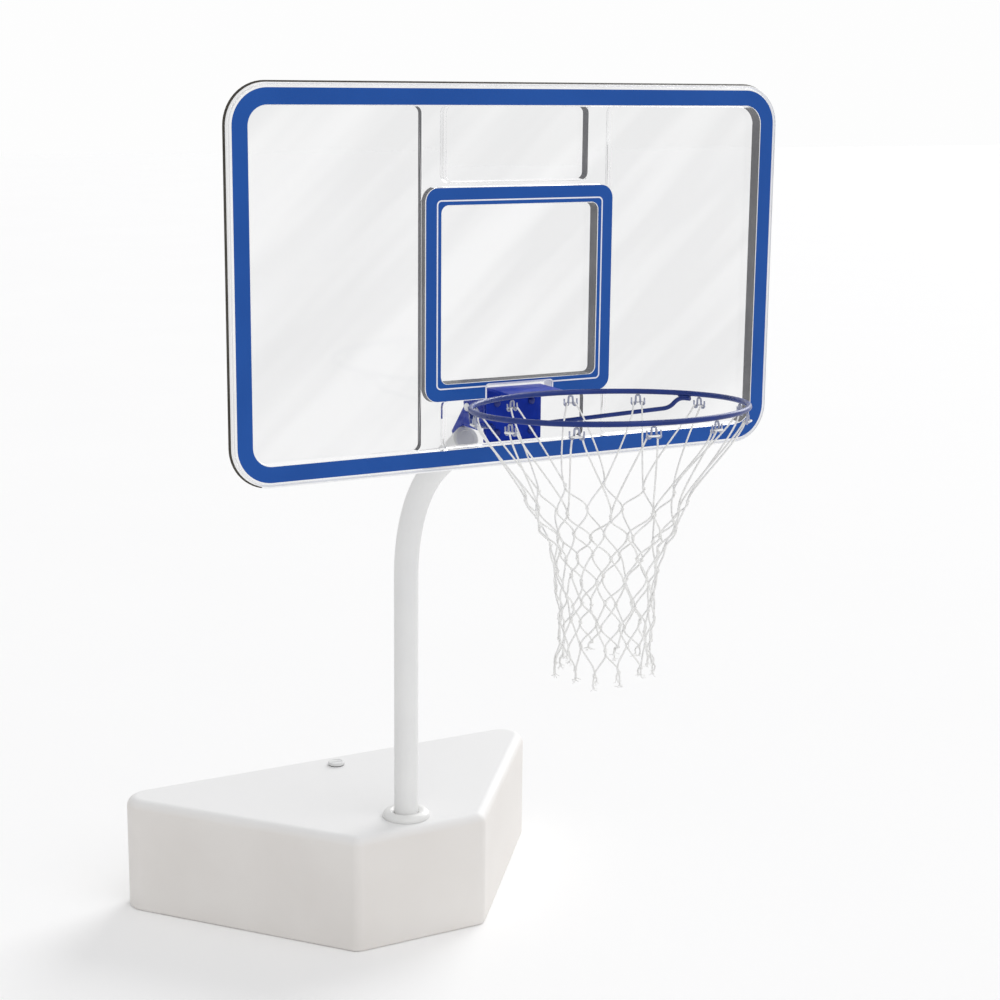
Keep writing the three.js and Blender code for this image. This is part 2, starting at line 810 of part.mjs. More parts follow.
function knotRadius(row) {
  return ringInnerRadius * netRowRadiusShares[row];
}

function knotHeight(row) {
  return ringRearHeight - netFirstRowDrop - row * netRowPitch;
}

function knotPlace(row, column) {
  return aroundNet(knotAngle(row, column), knotRadius(row), knotHeight(row));
}

// Each knot is a small diamond, with every corner outside and inside the net
function knotCorners(row, column) {
  const half = twineRadius * Math.SQRT2;
  const turn = half / knotRadius(row);
  const places = { top: [0, half], right: [turn, 0], bottom: [0, -half], left: [-turn, 0] };
  return knotCornerOrder.map((name) => places[name]).flatMap(([around, up]) => knotLayers.map(
    (layer) => aroundNet(
      knotAngle(row, column) + around, knotRadius(row) + layer * twineRadius, knotHeight(row) + up,
    ),
  ));
}

function latticeGeometry() {
  const rows = netRowRadiusShares.length;
  const points = [];
  const triangles = [];
  const corner = (row, column, name) => {
    const knot = row * hookCount + (column + hookCount) % hookCount;
    return (knot * knotCornerOrder.length + knotCornerOrder.indexOf(name)) * knotLayers.length;
  };
  const quad = (a, b, c, d) => triangles.push(a, b, c, a, c, d);
  const wall = (from, to) => quad(to, from, from + 1, to + 1);
  const patch = (a, b, c, d) => {
    quad(a, b, c, d);
    quad(d + 1, c + 1, b + 1, a + 1);
  };
  const strand = (a, b, c, d) => {
    patch(a, b, c, d);
    wall(a, b);
    wall(c, d);
  };
  for (let row = 0; row < rows; row += 1) {
    for (let column = 0; column < hookCount; column += 1) {
      points.push(...knotCorners(row, column));
      const [top, right, bottom, left] = knotCornerOrder.map((name) => corner(row, column, name));
      patch(top, left, bottom, right);
      if (row === 0) {
        wall(top, left);
        wall(right, top);
      }
      if (row === rows - 1) {
        wall(left, bottom);
        wall(bottom, right);
      } else {
        const after = column + (row % 2);
        const [topRight, leftOfRight] = ['top', 'left'].map((name) => corner(row + 1, after, name));
        const [topLeft, rightOfLeft] = ['top', 'right'].map((name) => corner(row + 1, after - 1, name));
        strand(bottom, leftOfRight, topRight, right);
        strand(left, topLeft, rightOfLeft, bottom);
      }
    }
  }
  const geometry = new THREE.BufferGeometry().setFromPoints(points);
  geometry.setIndex(triangles);
  return geometry;
}

function loopStations(index) {
  const angle = hookAngle(index);
  const turn = hookCupSpread / ringRadius;
  const up = twineRadius - ringRodRadius - hookCupDrop;
  const acrossCups = [
    [-turn, -netCrossReach],
    [-turn, netCrossReach],
    [turn, netCrossReach],
    [turn, -netCrossReach],
  ];
  return [
    knotPlace(0, index),
    ...acrossCups.map(([around, outward]) => (
      besideRing(angle + around, outward, up).applyMatrix4(rimPlane.matrix)
    )),
    knotPlace(0, index + 1),
  ];
}

function tailStations(column) {
  const top = knotPlace(netRowRadiusShares.length - 1, column);
  return [top, top.clone().setZ(top.z - netTailLength)];
}

function netGeometry() {
  const section = circleShape(twineRadius, twineSides);
  const twines = Array.from({ length: hookCount }, (_, index) => [
    loopStations(index), tailStations(index),
  ]).flat().map((stations) => solid(tube(stations, section)));
  return geometryOf(union([solid(latticeGeometry()), ...twines]));
}

function addNet() {
  addPart('net', netGeometry(), twineWhite);
}

// Carrier: a lug on the pole, and a plate with two cheeks behind the backboard

function lugShape() {
  const seat = tailTop.clone().addScaledVector(tailNormal, seatGap);
  const heel = seat.clone().addScaledVector(tailDirection, -lugFootLength);
  const shoulder = heel.clone().addScaledVector(tailNormal, lugFootHeight);
  const pastCap = seat.clone().addScaledVector(tailDirection, endCapFlange + seatGap);
  return new THREE.Shape([
    heel,
    pastCap,
    new THREE.Vector2(tailTop.x - lugReach, tailTop.y + armBottomRise),
    new THREE.Vector2(tailTop.x - lugReach, tailTop.y + lugTopRise),
    new THREE.Vector2(cheekRear, tailTop.y + lugTopRise),
    shoulder,
  ].reverse());
}

function headBoltHoles() {
  return headBoltPlaces.map((y) => solid(
    rod(headBoltRadius + boltClearance, -cheekOuter - overrun, cheekOuter + overrun, fastenerSides)
      .rotateY(Math.PI / 2).translate(0, y, headBoltHeight),
  ));
}

function lugGeometry() {
  const plate = solid(cheekGeometry(lugShape(), -lugThickness / 2, lugThickness / 2));
  return geometryOf(difference(plate, headBoltHoles()));
}

function cheekShape() {
  const armBottom = tailTop.y + armBottomRise;
  return new THREE.Shape([
    new THREE.Vector2(cheekRear, tailTop.y + cheekBottomRise),
    new THREE.Vector2(cheekRear, tailTop.y + cheekTopRise),
    new THREE.Vector2(cheekFront, tailTop.y + cheekTopRise),
    new THREE.Vector2(cheekFront, armBottom + armHeight),
    new THREE.Vector2(panelBack, armBottom + armHeight),
    new THREE.Vector2(panelBack, armBottom),
    new THREE.Vector2(cheekFront, armBottom),
    new THREE.Vector2(cheekFront, tailTop.y + cheekBottomRise),
  ]);
}

function carrierGeometry() {
  const bottom = bandInner.bottom + carrierBottomGap;
  const area = rect(-bracketHalfWidth, bracketHalfWidth, bottom, bottom + carrierHeight);
  const plate = solid(boxGeometry(area, panelBack, carrierBack));
  const inner = lugThickness / 2 + seatGap;
  const cheeks = [
    solid(cheekGeometry(cheekShape(), inner, cheekOuter)),
    solid(cheekGeometry(cheekShape(), -cheekOuter, -inner)),
  ];
  const holes = [...rimBoltHoles(panelBack - overrun, carrierBack + overrun), ...headBoltHoles()];
  return geometryOf(difference(union([plate, ...cheeks]), holes));
}

function addHeadBolts() {
  headBoltPlaces.forEach((y, index) => {
    const length = 2 * (cheekOuter + seatGap) + headNutHeight + headBoltStickOut;
    const bolt = boltGeometry(headBoltRadius, headBoltHeadRadius, headBoltHeadHeight, length);
    bolt.rotateY(Math.PI / 2);
    const head = new THREE.Vector3(-cheekOuter - seatGap - headBoltHeadHeight, y, headBoltHeight);
    addPart(`head_bolt_${index + 1}`, bolt, boltSteel, head);
    const nut = nutGeometry(headNutAcrossCorners, headNutHeight, headBoltRadius + boltClearance);
    nut.rotateY(Math.PI / 2);
    const seat = new THREE.Vector3(cheekOuter + seatGap, y, headBoltHeight);
    addPart(`head_nut_${index + 1}`, nut, boltSteel, seat);
  });
}

function addCarrier() {
  addPart('pole_head_lug', lugGeometry(), poleGrey);
  addPart('board_carrier', carrierGeometry(), steelBlue);
  addHeadBolts();
}

addTank();
addFillCap();
addPole();
addCarrier();
addBackboard();
addRim();
addHooks();
addNet();

export default hoop;
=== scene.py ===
"""A poolside basketball hoop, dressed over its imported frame. Lengths are in metres."""

import math
import random

import bmesh
import bpy
import numpy as np
from mathutils import Matrix, Vector, geometry


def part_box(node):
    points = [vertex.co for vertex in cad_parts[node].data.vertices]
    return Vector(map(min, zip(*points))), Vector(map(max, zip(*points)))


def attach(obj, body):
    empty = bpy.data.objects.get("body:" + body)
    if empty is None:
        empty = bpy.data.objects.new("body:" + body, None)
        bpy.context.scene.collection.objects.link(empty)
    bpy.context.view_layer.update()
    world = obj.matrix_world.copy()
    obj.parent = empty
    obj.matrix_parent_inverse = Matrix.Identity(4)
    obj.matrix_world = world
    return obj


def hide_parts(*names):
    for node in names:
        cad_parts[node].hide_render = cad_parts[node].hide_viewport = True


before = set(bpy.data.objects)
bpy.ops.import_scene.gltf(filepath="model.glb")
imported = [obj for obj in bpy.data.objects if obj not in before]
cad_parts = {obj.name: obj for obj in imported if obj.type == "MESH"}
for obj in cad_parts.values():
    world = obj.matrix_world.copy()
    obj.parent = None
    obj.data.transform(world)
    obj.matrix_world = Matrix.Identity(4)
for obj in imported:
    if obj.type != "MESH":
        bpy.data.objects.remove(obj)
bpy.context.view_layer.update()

UP = Vector((0, 0, 1))
FULL_TURN = 2 * math.pi
QUARTER = math.pi / 2
SEED = 12
SEAT = 0.0003  # clearance between pieces that seat on each other
MERGE = 0.00001  # points closer than this become one

# Camera, fitted to the photograph
IMAGE_SIZE = 1000
FOCAL_PIXELS = 1951.4
SENSOR = 36
CAMERA_PLACE = Vector((-1.7458, -3.5008, 1.7839))
CAMERA_HEADING = math.radians(29.32)
CAMERA_PITCH = math.radians(12.22)
CAMERA_ROLL = math.radians(0.59)

# Light; a lamp gives its name, strength, angle in degrees and the direction towards it
BACKDROP = (0.985, 0.985, 0.985, 1)
SOFT_LIGHT = (0.565, 0.565, 0.568, 1)
LAMPS = [
    ("window", 0.83, 60, (0.10, -0.60, 0.79)),
    ("side_window", 1.35, 38, (0.74, 0.46, 0.46)),
]
FLOOR_HALF = 40

# The clear sheet's look: slanting streaks of painted reflection, and a faint waviness
STREAK_TURN = math.radians(-42)
STREAK_SCALE = 11
STREAK_STRETCH = (9, 1, 1)
STREAK_RANGE = (0.38, 0.62)
STREAK_ROUGHNESS = 0.03
WAVE_SCALE = 14
WAVE_HEIGHT = 0.0004
WAVE_STRENGTH = 0.35
SHEET_GLOSS = 0.05

# Tank; its front and rear give half the width, the edge's y and the corner's radius
TANK_FRONT = (0.150, -0.075, 0.028)
TANK_REAR = (0.545, 0.420, 0.052)
TANK_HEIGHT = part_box("base_tank")[1].z
TANK_TOP_FILLET = 0.022
TANK_FOOT_FILLET = 0.006
TANK_SIDE_LEVELS = (0.3, 0.6, 0.88)
TANK_TOP_MARGIN = 0.002
TANK_WELL_RADIUS = 0.0291
TANK_WELL_FLOOR = 0.005
FILLER_RADIUS = 0.015
FILLER_DEPTH = 0.03

# Fill cap; its bar's levels give a height below the top and a scale
CAP_REACH = 0.356
CAP_LOW, CAP_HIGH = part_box("fill_cap")
CAP_RADIUS = (CAP_HIGH.x - CAP_LOW.x) / 2
CAP_GASKET = 0.002
CAP_EDGE = 0.002
CAP_DISH = 0.0012
CAP_DISH_RIM = (0.72, 0.68)
CAP_GRIPS = 24
CAP_GRIP_HEIGHT = 0.008
CAP_GRIP_CUT = 0.028
CAP_BAR_HALF = (0.0115, 0.0016)
CAP_BAR_LEVELS = ((0.0015, 1.0), (0.0004, 1.0), (0.0, 0.93))

# Pole, its end plug and its collar; the mouth gives run from the bore and drop from the top
POLE_RADIUS = 0.0254
POLE_WALL = 0.002
POLE_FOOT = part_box("pole")[0].z
POLE_BEND_START = 0.775
POLE_BEND_RADIUS = 0.304
POLE_BEND = math.radians(56.5)
POLE_TAIL = 0.139
PLUG_DEPTH = 0.018
PLUG_EDGE = 0.003
PLUG_ROUND = 0.004
PLUG_DISH = 0.0012
PLUG_DISH_RIM = (0.62, 0.58)
COLLAR_GAP = 0.0005
COLLAR_CROWN = 0.008
COLLAR_EDGE = 0.001
COLLAR_FOOT = 0.003
COLLAR_MOUTH = ((0.002, 0.0035), (0.0005, 0.005), (0.0, 0.0055))

# Board; areas are left, right, bottom, top, and depths run back from the front plane
BOARD_LOW, BOARD_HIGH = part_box("backboard_sheet")
BOARD_FRONT = BOARD_LOW.y
BOARD_AREA = (BOARD_LOW.x, BOARD_HIGH.x, BOARD_LOW.z, BOARD_HIGH.z)
BOARD_RADIUS = 0.075
SHARPEST_CORNER = 0.0004
BOARD_MERGE = 0.00002
SHEET = 0.004
HAIR = 0.0001
SHEET_FRONT = BOARD_FRONT + HAIR  # behind the films, so that no ray starts inside one
BAND_LOW, BAND_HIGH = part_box("border_band")
BAND_WIDTH = 0.028
LIP_WIDTH = BAND_LOW.x - BOARD_LOW.x
SKIRT_DEPTH = 0.012
SKIRT_FILLET = 0.0015
SKIRT_DRAFT = math.radians(4)
EDGE_RUN = 0.003
EDGE_DEPTH = 0.0045
REAR_RUN = EDGE_RUN + SHEET * 0.75
FIELD = (
    BAND_LOW.x + BAND_WIDTH, BAND_HIGH.x - BAND_WIDTH, BAND_LOW.z + BAND_WIDTH, BAND_HIGH.z - BAND_WIDTH,
)
FIELD_RADIUS = 0.0355
TARGET_LOW, TARGET_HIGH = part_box("target_frame")
TARGET = (TARGET_LOW.x, TARGET_HIGH.x, TARGET_LOW.z, TARGET_HIGH.z)
TARGET_BAND = 0.030
TARGET_RADIUS = 0.024
PANEL_RADIUS = 0.014
PANEL_DEPTH = 0.023
PILLAR_OUTER = 0.192
PILLAR_INNER = 0.146
PILLAR_DEPTH = 0.013
WINDOW_DEPTH = 0.030
WINDOW_GAP = 0.008
NOTCH_HALF = 0.068
NOTCH_HEIGHT = 0.024
NOTCH_RADIUS = 0.004
FILM = 0.0004
TRIM_RUN = (0.0003, 0.0028)
STEP_FILLET = 0.0014
STEP_DRAFT = math.radians(3)
FILLET_STEPS = 4
BOARD_CORNER_STEPS = 14
POCKET_CORNER_STEPS = 7

# The sheet's materials by face, some of them painted shade and painted dark reflection, and how far a face
# turns to count as a wall or as shaded
CLEAR_SLOT, SHADED_SLOT, LIT_SLOT, LIP_SLOT, DARK_EDGE_SLOT = range(5)
WALL_TURN = 0.6
SHADED_TURN = 0.3
DARK_EDGE_TURN = 0.2
NOTCH_MARGIN = (0.004, 0.003)
WINDOW_MARGIN = 0.001

# Bolts and nuts
RIM_HOLE = 0.0043
RIM_HOLE_SIDES = 24
IN_HOLE = 0.98  # share of its radius that counts as inside
RIM_BOLT_SPREAD = 0.036
RIM_BOLT_RISE = 0.016
RIM_BOLT_PITCH = 0.055
RIM_BOLT_SHANK = 0.004
RIM_BOLT_HEAD = 0.0045
HEAD_BOLT_SHANK = 0.005
HEAD_BOLT_HEAD = 0.006
HEAD_NUT_BORE = 0.0053
BOLT_END = (0.0008, 0.001)
NUT_SIDES = 60
NUT_CHAMFER = math.radians(30)
NUT_FACE = 0.97

# Rim
RING_RADIUS = 0.2334
RING_ROD = 0.00475
RING_INNER = RING_RADIUS - RING_ROD
RING_REACH = 0.765
RING_RISE = math.radians(3.1)
BRACKET_LOW, BRACKET_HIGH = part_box("rim_bracket")
BRACKET_THICKNESS = 0.005
BRACKET_FRONT = BOARD_FRONT + PANEL_DEPTH - BRACKET_THICKNESS
RING_REAR_HEIGHT = BRACKET_HIGH.z - BRACKET_THICKNESS / 2
BRACE_RADIUS = 0.004
BRACE_FOOT = (0.049, 0.029)
BRACE_FOOT_LENGTH = 0.012
BRACE_WELD_ANGLE = math.radians(23)
BRACE_WELD_LENGTH = 0.024
BRACE_WELD_HALF = BRACE_WELD_LENGTH / RING_RADIUS / 2
BRACE_KNEE = (0.016, 0.019)
BRACE_BEND = 0.012
PLATE_ROUNDING = 0.0012
SHARP_EDGE = math.radians(35)

# Weld beads: ripples, then radius and place; the ring's places are shares of its rod
BEAD_RIPPLE = 0.16
BEAD_STEP = 1.9
BEAD_UNEVEN = 0.08
RING_BEAD = 0.0016
RING_BEAD_OUT = 0.95
RING_BEAD_UP = 0.72
RING_BEAD_MARGIN = 0.004
BRACE_BEAD = 0.0014
BRACE_BEAD_OUT = 0.0032
BRACE_BEAD_DROP = 0.0006
FOOT_BEAD = 0.0013
FOOT_BEAD_RADIUS = 0.0045
FOOT_BEAD_LIFT = 0.0008
FOOT_BEAD_TURN = 1.9 * math.pi

# Hooks
HOOKS = 12
HOOK_WIRE = 0.0018
HOOK_CROWN = 0.0036
HOOK_SPREAD = 0.0082
HOOK_CUP = 0.0036
HOOK_DROP = 0.017
HOOK_TIP = 0.009
HOOK_BEND = 0.0028
HOOK_END = 0.8

# Net; the shares are of the ring's inner radius, one for each row of knots
TWINE = 0.0018
TWINE_PITCH = 0.011
TWINE_STEP = 0.002
TWINE_PLIES = 3
TWINE_RIPPLE = 0.1
TWIST_SPREAD = 6
NET_SHARES = (0.6, 0.525, 0.428, 0.388, 0.363, 0.349, 0.352, 0.362)
NET_FIRST_DROP = 0.1485
NET_PITCH = 0.040
NET_LOOSE = (0.0025, 0.006)
STRAND_LEAN = 0.27
STRAND_BOW = 0.0085
LOOP_CROSSING = 0.0055
LOOP_LEAN = 0.12
LOOP_BOW = 0.013
LOOP_BEND = 0.003
KNOT_TILT = 0.35
KNOT_TURNS = 1.8
KNOT_RADIUS = 0.0021
KNOT_RIPPLE = 0.0004
KNOT_HEIGHT = 0.0052
KNOT_TWINE = 0.00145

# Frayed ends
FRAYS = 2
FRAY_START = 0.001
FRAY_OUT = (-0.004, 0.006)
FRAY_ASIDE = 0.008
FRAY_LENGTH = (0.008, 0.02)
FRAY_TWINE = TWINE * 0.9
FRAY_PLIES = 4
FRAY_PLY = 0.0006
FRAY_REACH = (0.003, 0.011)
FRAY_DROP = (0.005, 0.015)
FRAY_SLOWING = 0.35
FRAY_CURL = 0.006
FRAY_CURL_TURNS = 1.1

rim_plane = (
    Matrix.Translation((0, RING_RADIUS - RING_REACH, RING_REAR_HEIGHT))
    @ Matrix.Rotation(-RING_RISE, 4, "X")
)
along_y = Matrix.Rotation(-QUARTER, 4, "X")
along_x = Matrix.Rotation(-QUARTER, 4, "Z") @ along_y


# Shader nodes

def set_inputs(tree, node, inputs):
    """Gives each input its value, or a link where the value is another node's output."""
    for name, value in inputs.items():
        if isinstance(value, bpy.types.NodeSocket):
            tree.links.new(value, node.inputs[name])
        else:
            node.inputs[name].default_value = value


def add_node(tree, kind, inputs, **settings):
    node = tree.nodes.new("ShaderNode" + kind)
    for name, value in settings.items():
        setattr(node, name, value)
    set_inputs(tree, node, inputs)
    return node


# Camera and light

def add_object(name, data):
    made = bpy.data.objects.new(name, data)
    bpy.context.scene.collection.objects.link(made)
    return made


def make_camera():
    heading, pitch, roll = CAMERA_HEADING, CAMERA_PITCH, CAMERA_ROLL
    forward = Vector((
        math.sin(heading) * math.cos(pitch), math.cos(heading) * math.cos(pitch), -math.sin(pitch),
    ))
    level = Vector((math.cos(heading), -math.sin(heading), 0))
    upward = level.cross(forward)
    right = level * math.cos(roll) + upward * math.sin(roll)
    up = upward * math.cos(roll) - level * math.sin(roll)
    data = bpy.data.cameras.new("camera")
    data.sensor_width = SENSOR
    data.lens = FOCAL_PIXELS / IMAGE_SIZE * SENSOR
    camera = add_object("camera", data)
    turn = Matrix((right, up, -forward)).transposed().to_4x4()
    camera.matrix_world = Matrix.Translation(CAMERA_PLACE) @ turn
    bpy.context.scene.camera = camera


def make_light():
    """A white backdrop to look at, a dimmer one that lights the object, and the lamps."""
    world = bpy.data.worlds.new("studio")
    bpy.context.scene.world = world
    world.use_nodes = True
    tree = world.node_tree
    tree.nodes.clear()
    soft = add_node(tree, "Background", {"Color": SOFT_LIGHT})
    seen = add_node(tree, "Background", {"Color": BACKDROP})
    rays = add_node(tree, "LightPath", {}).outputs
    looking = rays["Is Camera Ray"]
    for other in ("Is Glossy Ray", "Is Transmission Ray"):
        looking = add_node(tree, "Math", {0: looking, 1: rays[other]}, operation="MAXIMUM").outputs[0]
    mix = add_node(tree, "MixShader", {0: looking, 1: soft.outputs[0], 2: seen.outputs[0]})
    add_node(tree, "OutputWorld", {"Surface": mix.outputs[0]})
    for name, energy, angle, towards in LAMPS:
        data = bpy.data.lights.new(name, "SUN")
        data.energy = energy
        data.angle = math.radians(angle)
        lamp = add_object(name, data)
        lamp.rotation_euler = Vector(towards).to_track_quat("Z", "Y").to_euler()
    bpy.context.scene.view_settings.view_transform = "Standard"


# Materials

def new_material(name):
    material = bpy.data.materials.new(name)
    material.use_nodes = True
    tree = material.node_tree
    coordinates = add_node(tree, "TexCoord", {}).outputs["Object"]
    return material, tree, tree.nodes["Principled BSDF"], coordinates


def noise(tree, coordinates, scale, detail):
    texture = add_node(tree, "TexNoise", {"Vector": coordinates, "Scale": scale, "Detail": detail})
    return texture.outputs["Fac"]


def drawn_out(tree, coordinates, stretch, turn):
    """Coordinates drawn out by the stretch, along axes that are turned about Y."""
    inputs = {"Vector": coordinates, "Rotation": (0, turn, 0), "Scale": stretch}
    return add_node(tree, "Mapping", inputs, vector_type="TEXTURE").outputs["Vector"]


def between(tree, factor, low, high, start=0.3, end=0.7):
    """A value that runs from low to high as the factor runs from start to end."""
    inputs = {"Value": factor, "From Min": start, "From Max": end, "To Min": low, "To Max": high}
    return add_node(tree, "MapRange", inputs).outputs["Result"]


def mixed(tree, factor, first, second):
    inputs = {"Factor": factor, "A": first, "B": second}
    return add_node(tree, "Mix", inputs, data_type="RGBA").outputs["Result"]


def blended(tree, factor, dark, light, start=0.3, end=0.7):
    """A colour that runs from dark to light as the factor runs from start to end."""
    return mixed(tree, between(tree, factor, 0, 1, start, end), (*dark, 1), (*light, 1))


def bumped(tree, height, distance, strength=1.0):
    inputs = {"Height": height, "Distance": distance, "Strength": strength}
    return add_node(tree, "Bump", inputs).outputs["Normal"]


def finish(name, dark, light, rough, texture, metallic=0.0, gloss=0.5):
    """Patchy colour and roughness over a fine grain; texture is their scales and the grain's height."""
    material, tree, shader, coordinates = new_material(name)
    patch, grain, height = texture
    patches = noise(tree, coordinates, patch, 3)
    set_inputs(tree, shader, {
        "Base Color": blended(tree, patches, dark, light),
        "Roughness": between(tree, patches, *rough),
        "Metallic": metallic,
        "Specular IOR Level": gloss,
        "Normal": bumped(tree, noise(tree, coordinates, grain, 2), height),
    })
    return material


def painted_top_light(material, colour, share):
    """Faces that look up turn towards a paler colour: painted light on the tank's top."""
    tree = material.node_tree
    shader = tree.nodes["Principled BSDF"]
    facing = add_node(tree, "NewGeometry", {}).outputs["Normal"]
    upward = add_node(tree, "SeparateXYZ", {"Vector": facing}).outputs["Z"]
    plain = shader.inputs["Base Color"].links[0].from_socket
    # painted light: upward faces blend towards the paler colour
    painted_light_colour = mixed(tree, between(tree, upward, 0, share, 0.2, 1), plain, (*colour, 1))
    set_inputs(tree, shader, {"Base Color": painted_light_colour})


def clear_material(name, dark, light, clearness=1.0, rough=0.03, bend=1.25):
    """See-through plastic with slanting streaks of painted reflection, a little rougher where they are
    light, and slightly uneven, as a moulded sheet is.
    """
    material, tree, shader, coordinates = new_material(name)
    reflection_streaks = noise(tree, drawn_out(tree, coordinates, STREAK_STRETCH, STREAK_TURN), STREAK_SCALE, 2)
    waves = noise(tree, coordinates, WAVE_SCALE, 1)
    set_inputs(tree, shader, {
        # painted reflection: the streaks lighten the base colour
        "Base Color": blended(tree, reflection_streaks, dark, light, *STREAK_RANGE),
        "Roughness": between(tree, reflection_streaks, rough, rough + STREAK_ROUGHNESS),
        "Transmission Weight": clearness,
        "IOR": bend,
        "Specular IOR Level": SHEET_GLOSS,
        "Normal": bumped(tree, waves, WAVE_HEIGHT, WAVE_STRENGTH),
    })
    return material


TANK_PLASTIC = finish(
    "moulded_white", (0.775, 0.745, 0.715), (0.815, 0.79, 0.763), (0.45, 0.58),
    (5, 420, 0.00012), gloss=0.42,
)
# The tank's top gets painted light, paler than its sides
painted_top_light(TANK_PLASTIC, (0.85, 0.855, 0.86), 0.8)
COLLAR_PLASTIC = finish(
    "collar_white", (0.77, 0.77, 0.755), (0.82, 0.82, 0.81), (0.3, 0.42), (12, 1200, 0.00003),
)
POLE_PAINT = finish(
    "pole_powder_coat", (0.80, 0.80, 0.795), (0.85, 0.85, 0.84), (0.38, 0.48),
    (7, 1500, 0.00003), gloss=0.25,
)
LIGHT_GREY = finish(
    "light_grey_plastic", (0.58, 0.58, 0.57), (0.66, 0.66, 0.65), (0.45, 0.6), (12, 1300, 0.00004),
)
CAP_GREY = finish(
    "cap_pale_plastic", (0.73, 0.735, 0.73), (0.78, 0.785, 0.78), (0.45, 0.6), (12, 1300, 0.00005),
)
RUBBER = finish("seal_rubber", (0.02, 0.02, 0.02), (0.035, 0.035, 0.035), (0.6, 0.8), (12, 1500, 0.00006))
BLUE_PRINT = finish(
    "blue_print", (0.006, 0.072, 0.335), (0.009, 0.083, 0.37), (0.3, 0.4), (8, 2200, 0.00001), gloss=0.22,
)
WHITE_PRINT = finish(
    "white_print", (0.80, 0.81, 0.90), (0.86, 0.87, 0.94), (0.35, 0.45), (12, 2200, 0.00001),
)
BLUE_STEEL = finish(
    "blue_powder_coat", (0.003, 0.026, 0.31), (0.007, 0.038, 0.40), (0.36, 0.5),
    (25, 1600, 0.00005), gloss=0.1,
)
ROD_BLUE = finish(
    "blue_rod_coat", (0.004, 0.022, 0.155), (0.008, 0.032, 0.215), (0.25, 0.36),
    (25, 1600, 0.00005), gloss=0.3,
)
BOLT_BLUE = finish(
    "blue_bolt_coat", (0.004, 0.014, 0.15), (0.01, 0.026, 0.22), (0.3, 0.45), (60, 2500, 0.00004), gloss=0.4,
)
BRIGHT_STEEL = finish(
    "zinc_steel", (0.62, 0.63, 0.64), (0.74, 0.75, 0.76), (0.25, 0.42), (140, 2400, 0.00003), metallic=1.0,
)
HOOK_STEEL = finish(
    "hook_wire_steel", (0.27, 0.29, 0.38), (0.37, 0.39, 0.49), (0.24, 0.36),
    (120, 2600, 0.00003), metallic=0.85,
)
TWINE_WHITE = finish("net_twine", (0.88, 0.875, 0.86), (0.95, 0.95, 0.94), (0.75, 0.95), (90, 2600, 0.0002))
FLOOR = finish("studio_floor", (0.965, 0.965, 0.965), (0.975, 0.975, 0.975), (0.9, 0.95), (1, 30, 0.0))
CLEAR = clear_material("clear_sheet", (0.845, 0.846, 0.848), (0.93, 0.931, 0.932))
# Copies of the clear sheet for its walls: painted shade for walls that look away from the light, painted
# light for the rest
SHADED_WALL = clear_material(
    "clear_sheet_shaded_wall", (0.10, 0.10, 0.107), (0.13, 0.13, 0.138), clearness=0.3, rough=0.12,
)
LIT_WALL = clear_material("clear_sheet_lit_wall", (0.975, 0.975, 0.975), (0.99, 0.99, 0.99), bend=1.1)
CLEAR_LIP = clear_material(
    "clear_sheet_lip", (0.97, 0.97, 0.97), (0.99, 0.99, 0.99), clearness=0.12, rough=0.2,
)
# A dark copy for the left and top of the outer chamfer: a painted dark reflection
CLEAR_EDGE_PAINTED_DARK = clear_material(
    "clear_sheet_edge_painted_dark", (0.03, 0.026, 0.02), (0.05, 0.045, 0.035), clearness=0.2, rough=0.3,
)
WATER = clear_material("pool_water", (0.84, 0.93, 0.95), (0.88, 0.95, 0.97), rough=0.0)


# Mesh helpers: each form is a list of points and a list of faces

def joined(*forms):
    points, faces = [], []
    for more_points, more_faces in forms:
        start = len(points)
        points.extend(more_points)
        faces.extend([[index + start for index in face] for face in more_faces])
    return points, faces


def moved(form, matrix):
    return [matrix @ Vector(point) for point in form[0]], form[1]


def place_mesh(name, mesh, angle):
    mesh.shade_smooth()
    mesh.set_sharp_from_angle(angle=angle)
    return add_object(name, mesh)


def mesh_object(name, form, materials, angle=40):
    mesh = bpy.data.meshes.new(name)
    mesh.from_pydata([tuple(point) for point in form[0]], [], form[1])
    rework = bmesh.new()
    rework.from_mesh(mesh)
    bmesh.ops.recalc_face_normals(rework, faces=rework.faces)
    rework.to_mesh(mesh)
    rework.free()
    for material in materials:
        mesh.materials.append(material)
    return place_mesh(name, mesh, math.radians(angle))


def add_piece(name, form, material, body, slot, *nodes, angle=40):
    piece = mesh_object(name, form, [material], angle)
    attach(piece, body)
    if nodes:
        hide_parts(*nodes)


def ring_band(rings, closed=False):
    """Rings of equal length, joined by quads; closed joins the last to the first."""
    count = len(rings[0])
    points = [point for ring in rings for point in ring]
    faces = []
    for index in range(len(rings) - (0 if closed else 1)):
        low, high = index * count, ((index + 1) % len(rings)) * count
        for step in range(count):
            after = (step + 1) % count
            faces.append([low + step, low + after, high + after, high + step])
    return points, faces


def capped_band(rings):
    points, faces = ring_band(rings)
    count = len(rings[0])
    last = len(points) - count
    return points, faces + [list(range(count))[::-1], list(range(last, len(points)))]


def arc(centre, radius, start, end, steps):
    return [
        (centre[0] + radius * math.cos(angle), centre[1] + radius * math.sin(angle))
        for angle in np.linspace(start, end, steps + 1)
    ]


def circle(radius, count, height=0.0, centre=(0, 0)):
    return [Vector((x, y, height)) for x, y in arc(centre, radius, 0, FULL_TURN, count)[:-1]]


def lathe(profile, sides=64, closed=False):
    """A form turned about Z, from a profile of radius and height; open ends are closed flat."""
    rings = [circle(max(radius, MERGE), sides, height) for radius, height in profile]
    return ring_band(rings, True) if closed else capped_band(rings)


def around(middle, first, second, radius, angle):
    """The point at an angle on the circle that two directions span."""
    return middle + first * (radius * math.cos(angle)) + second * (radius * math.sin(angle))


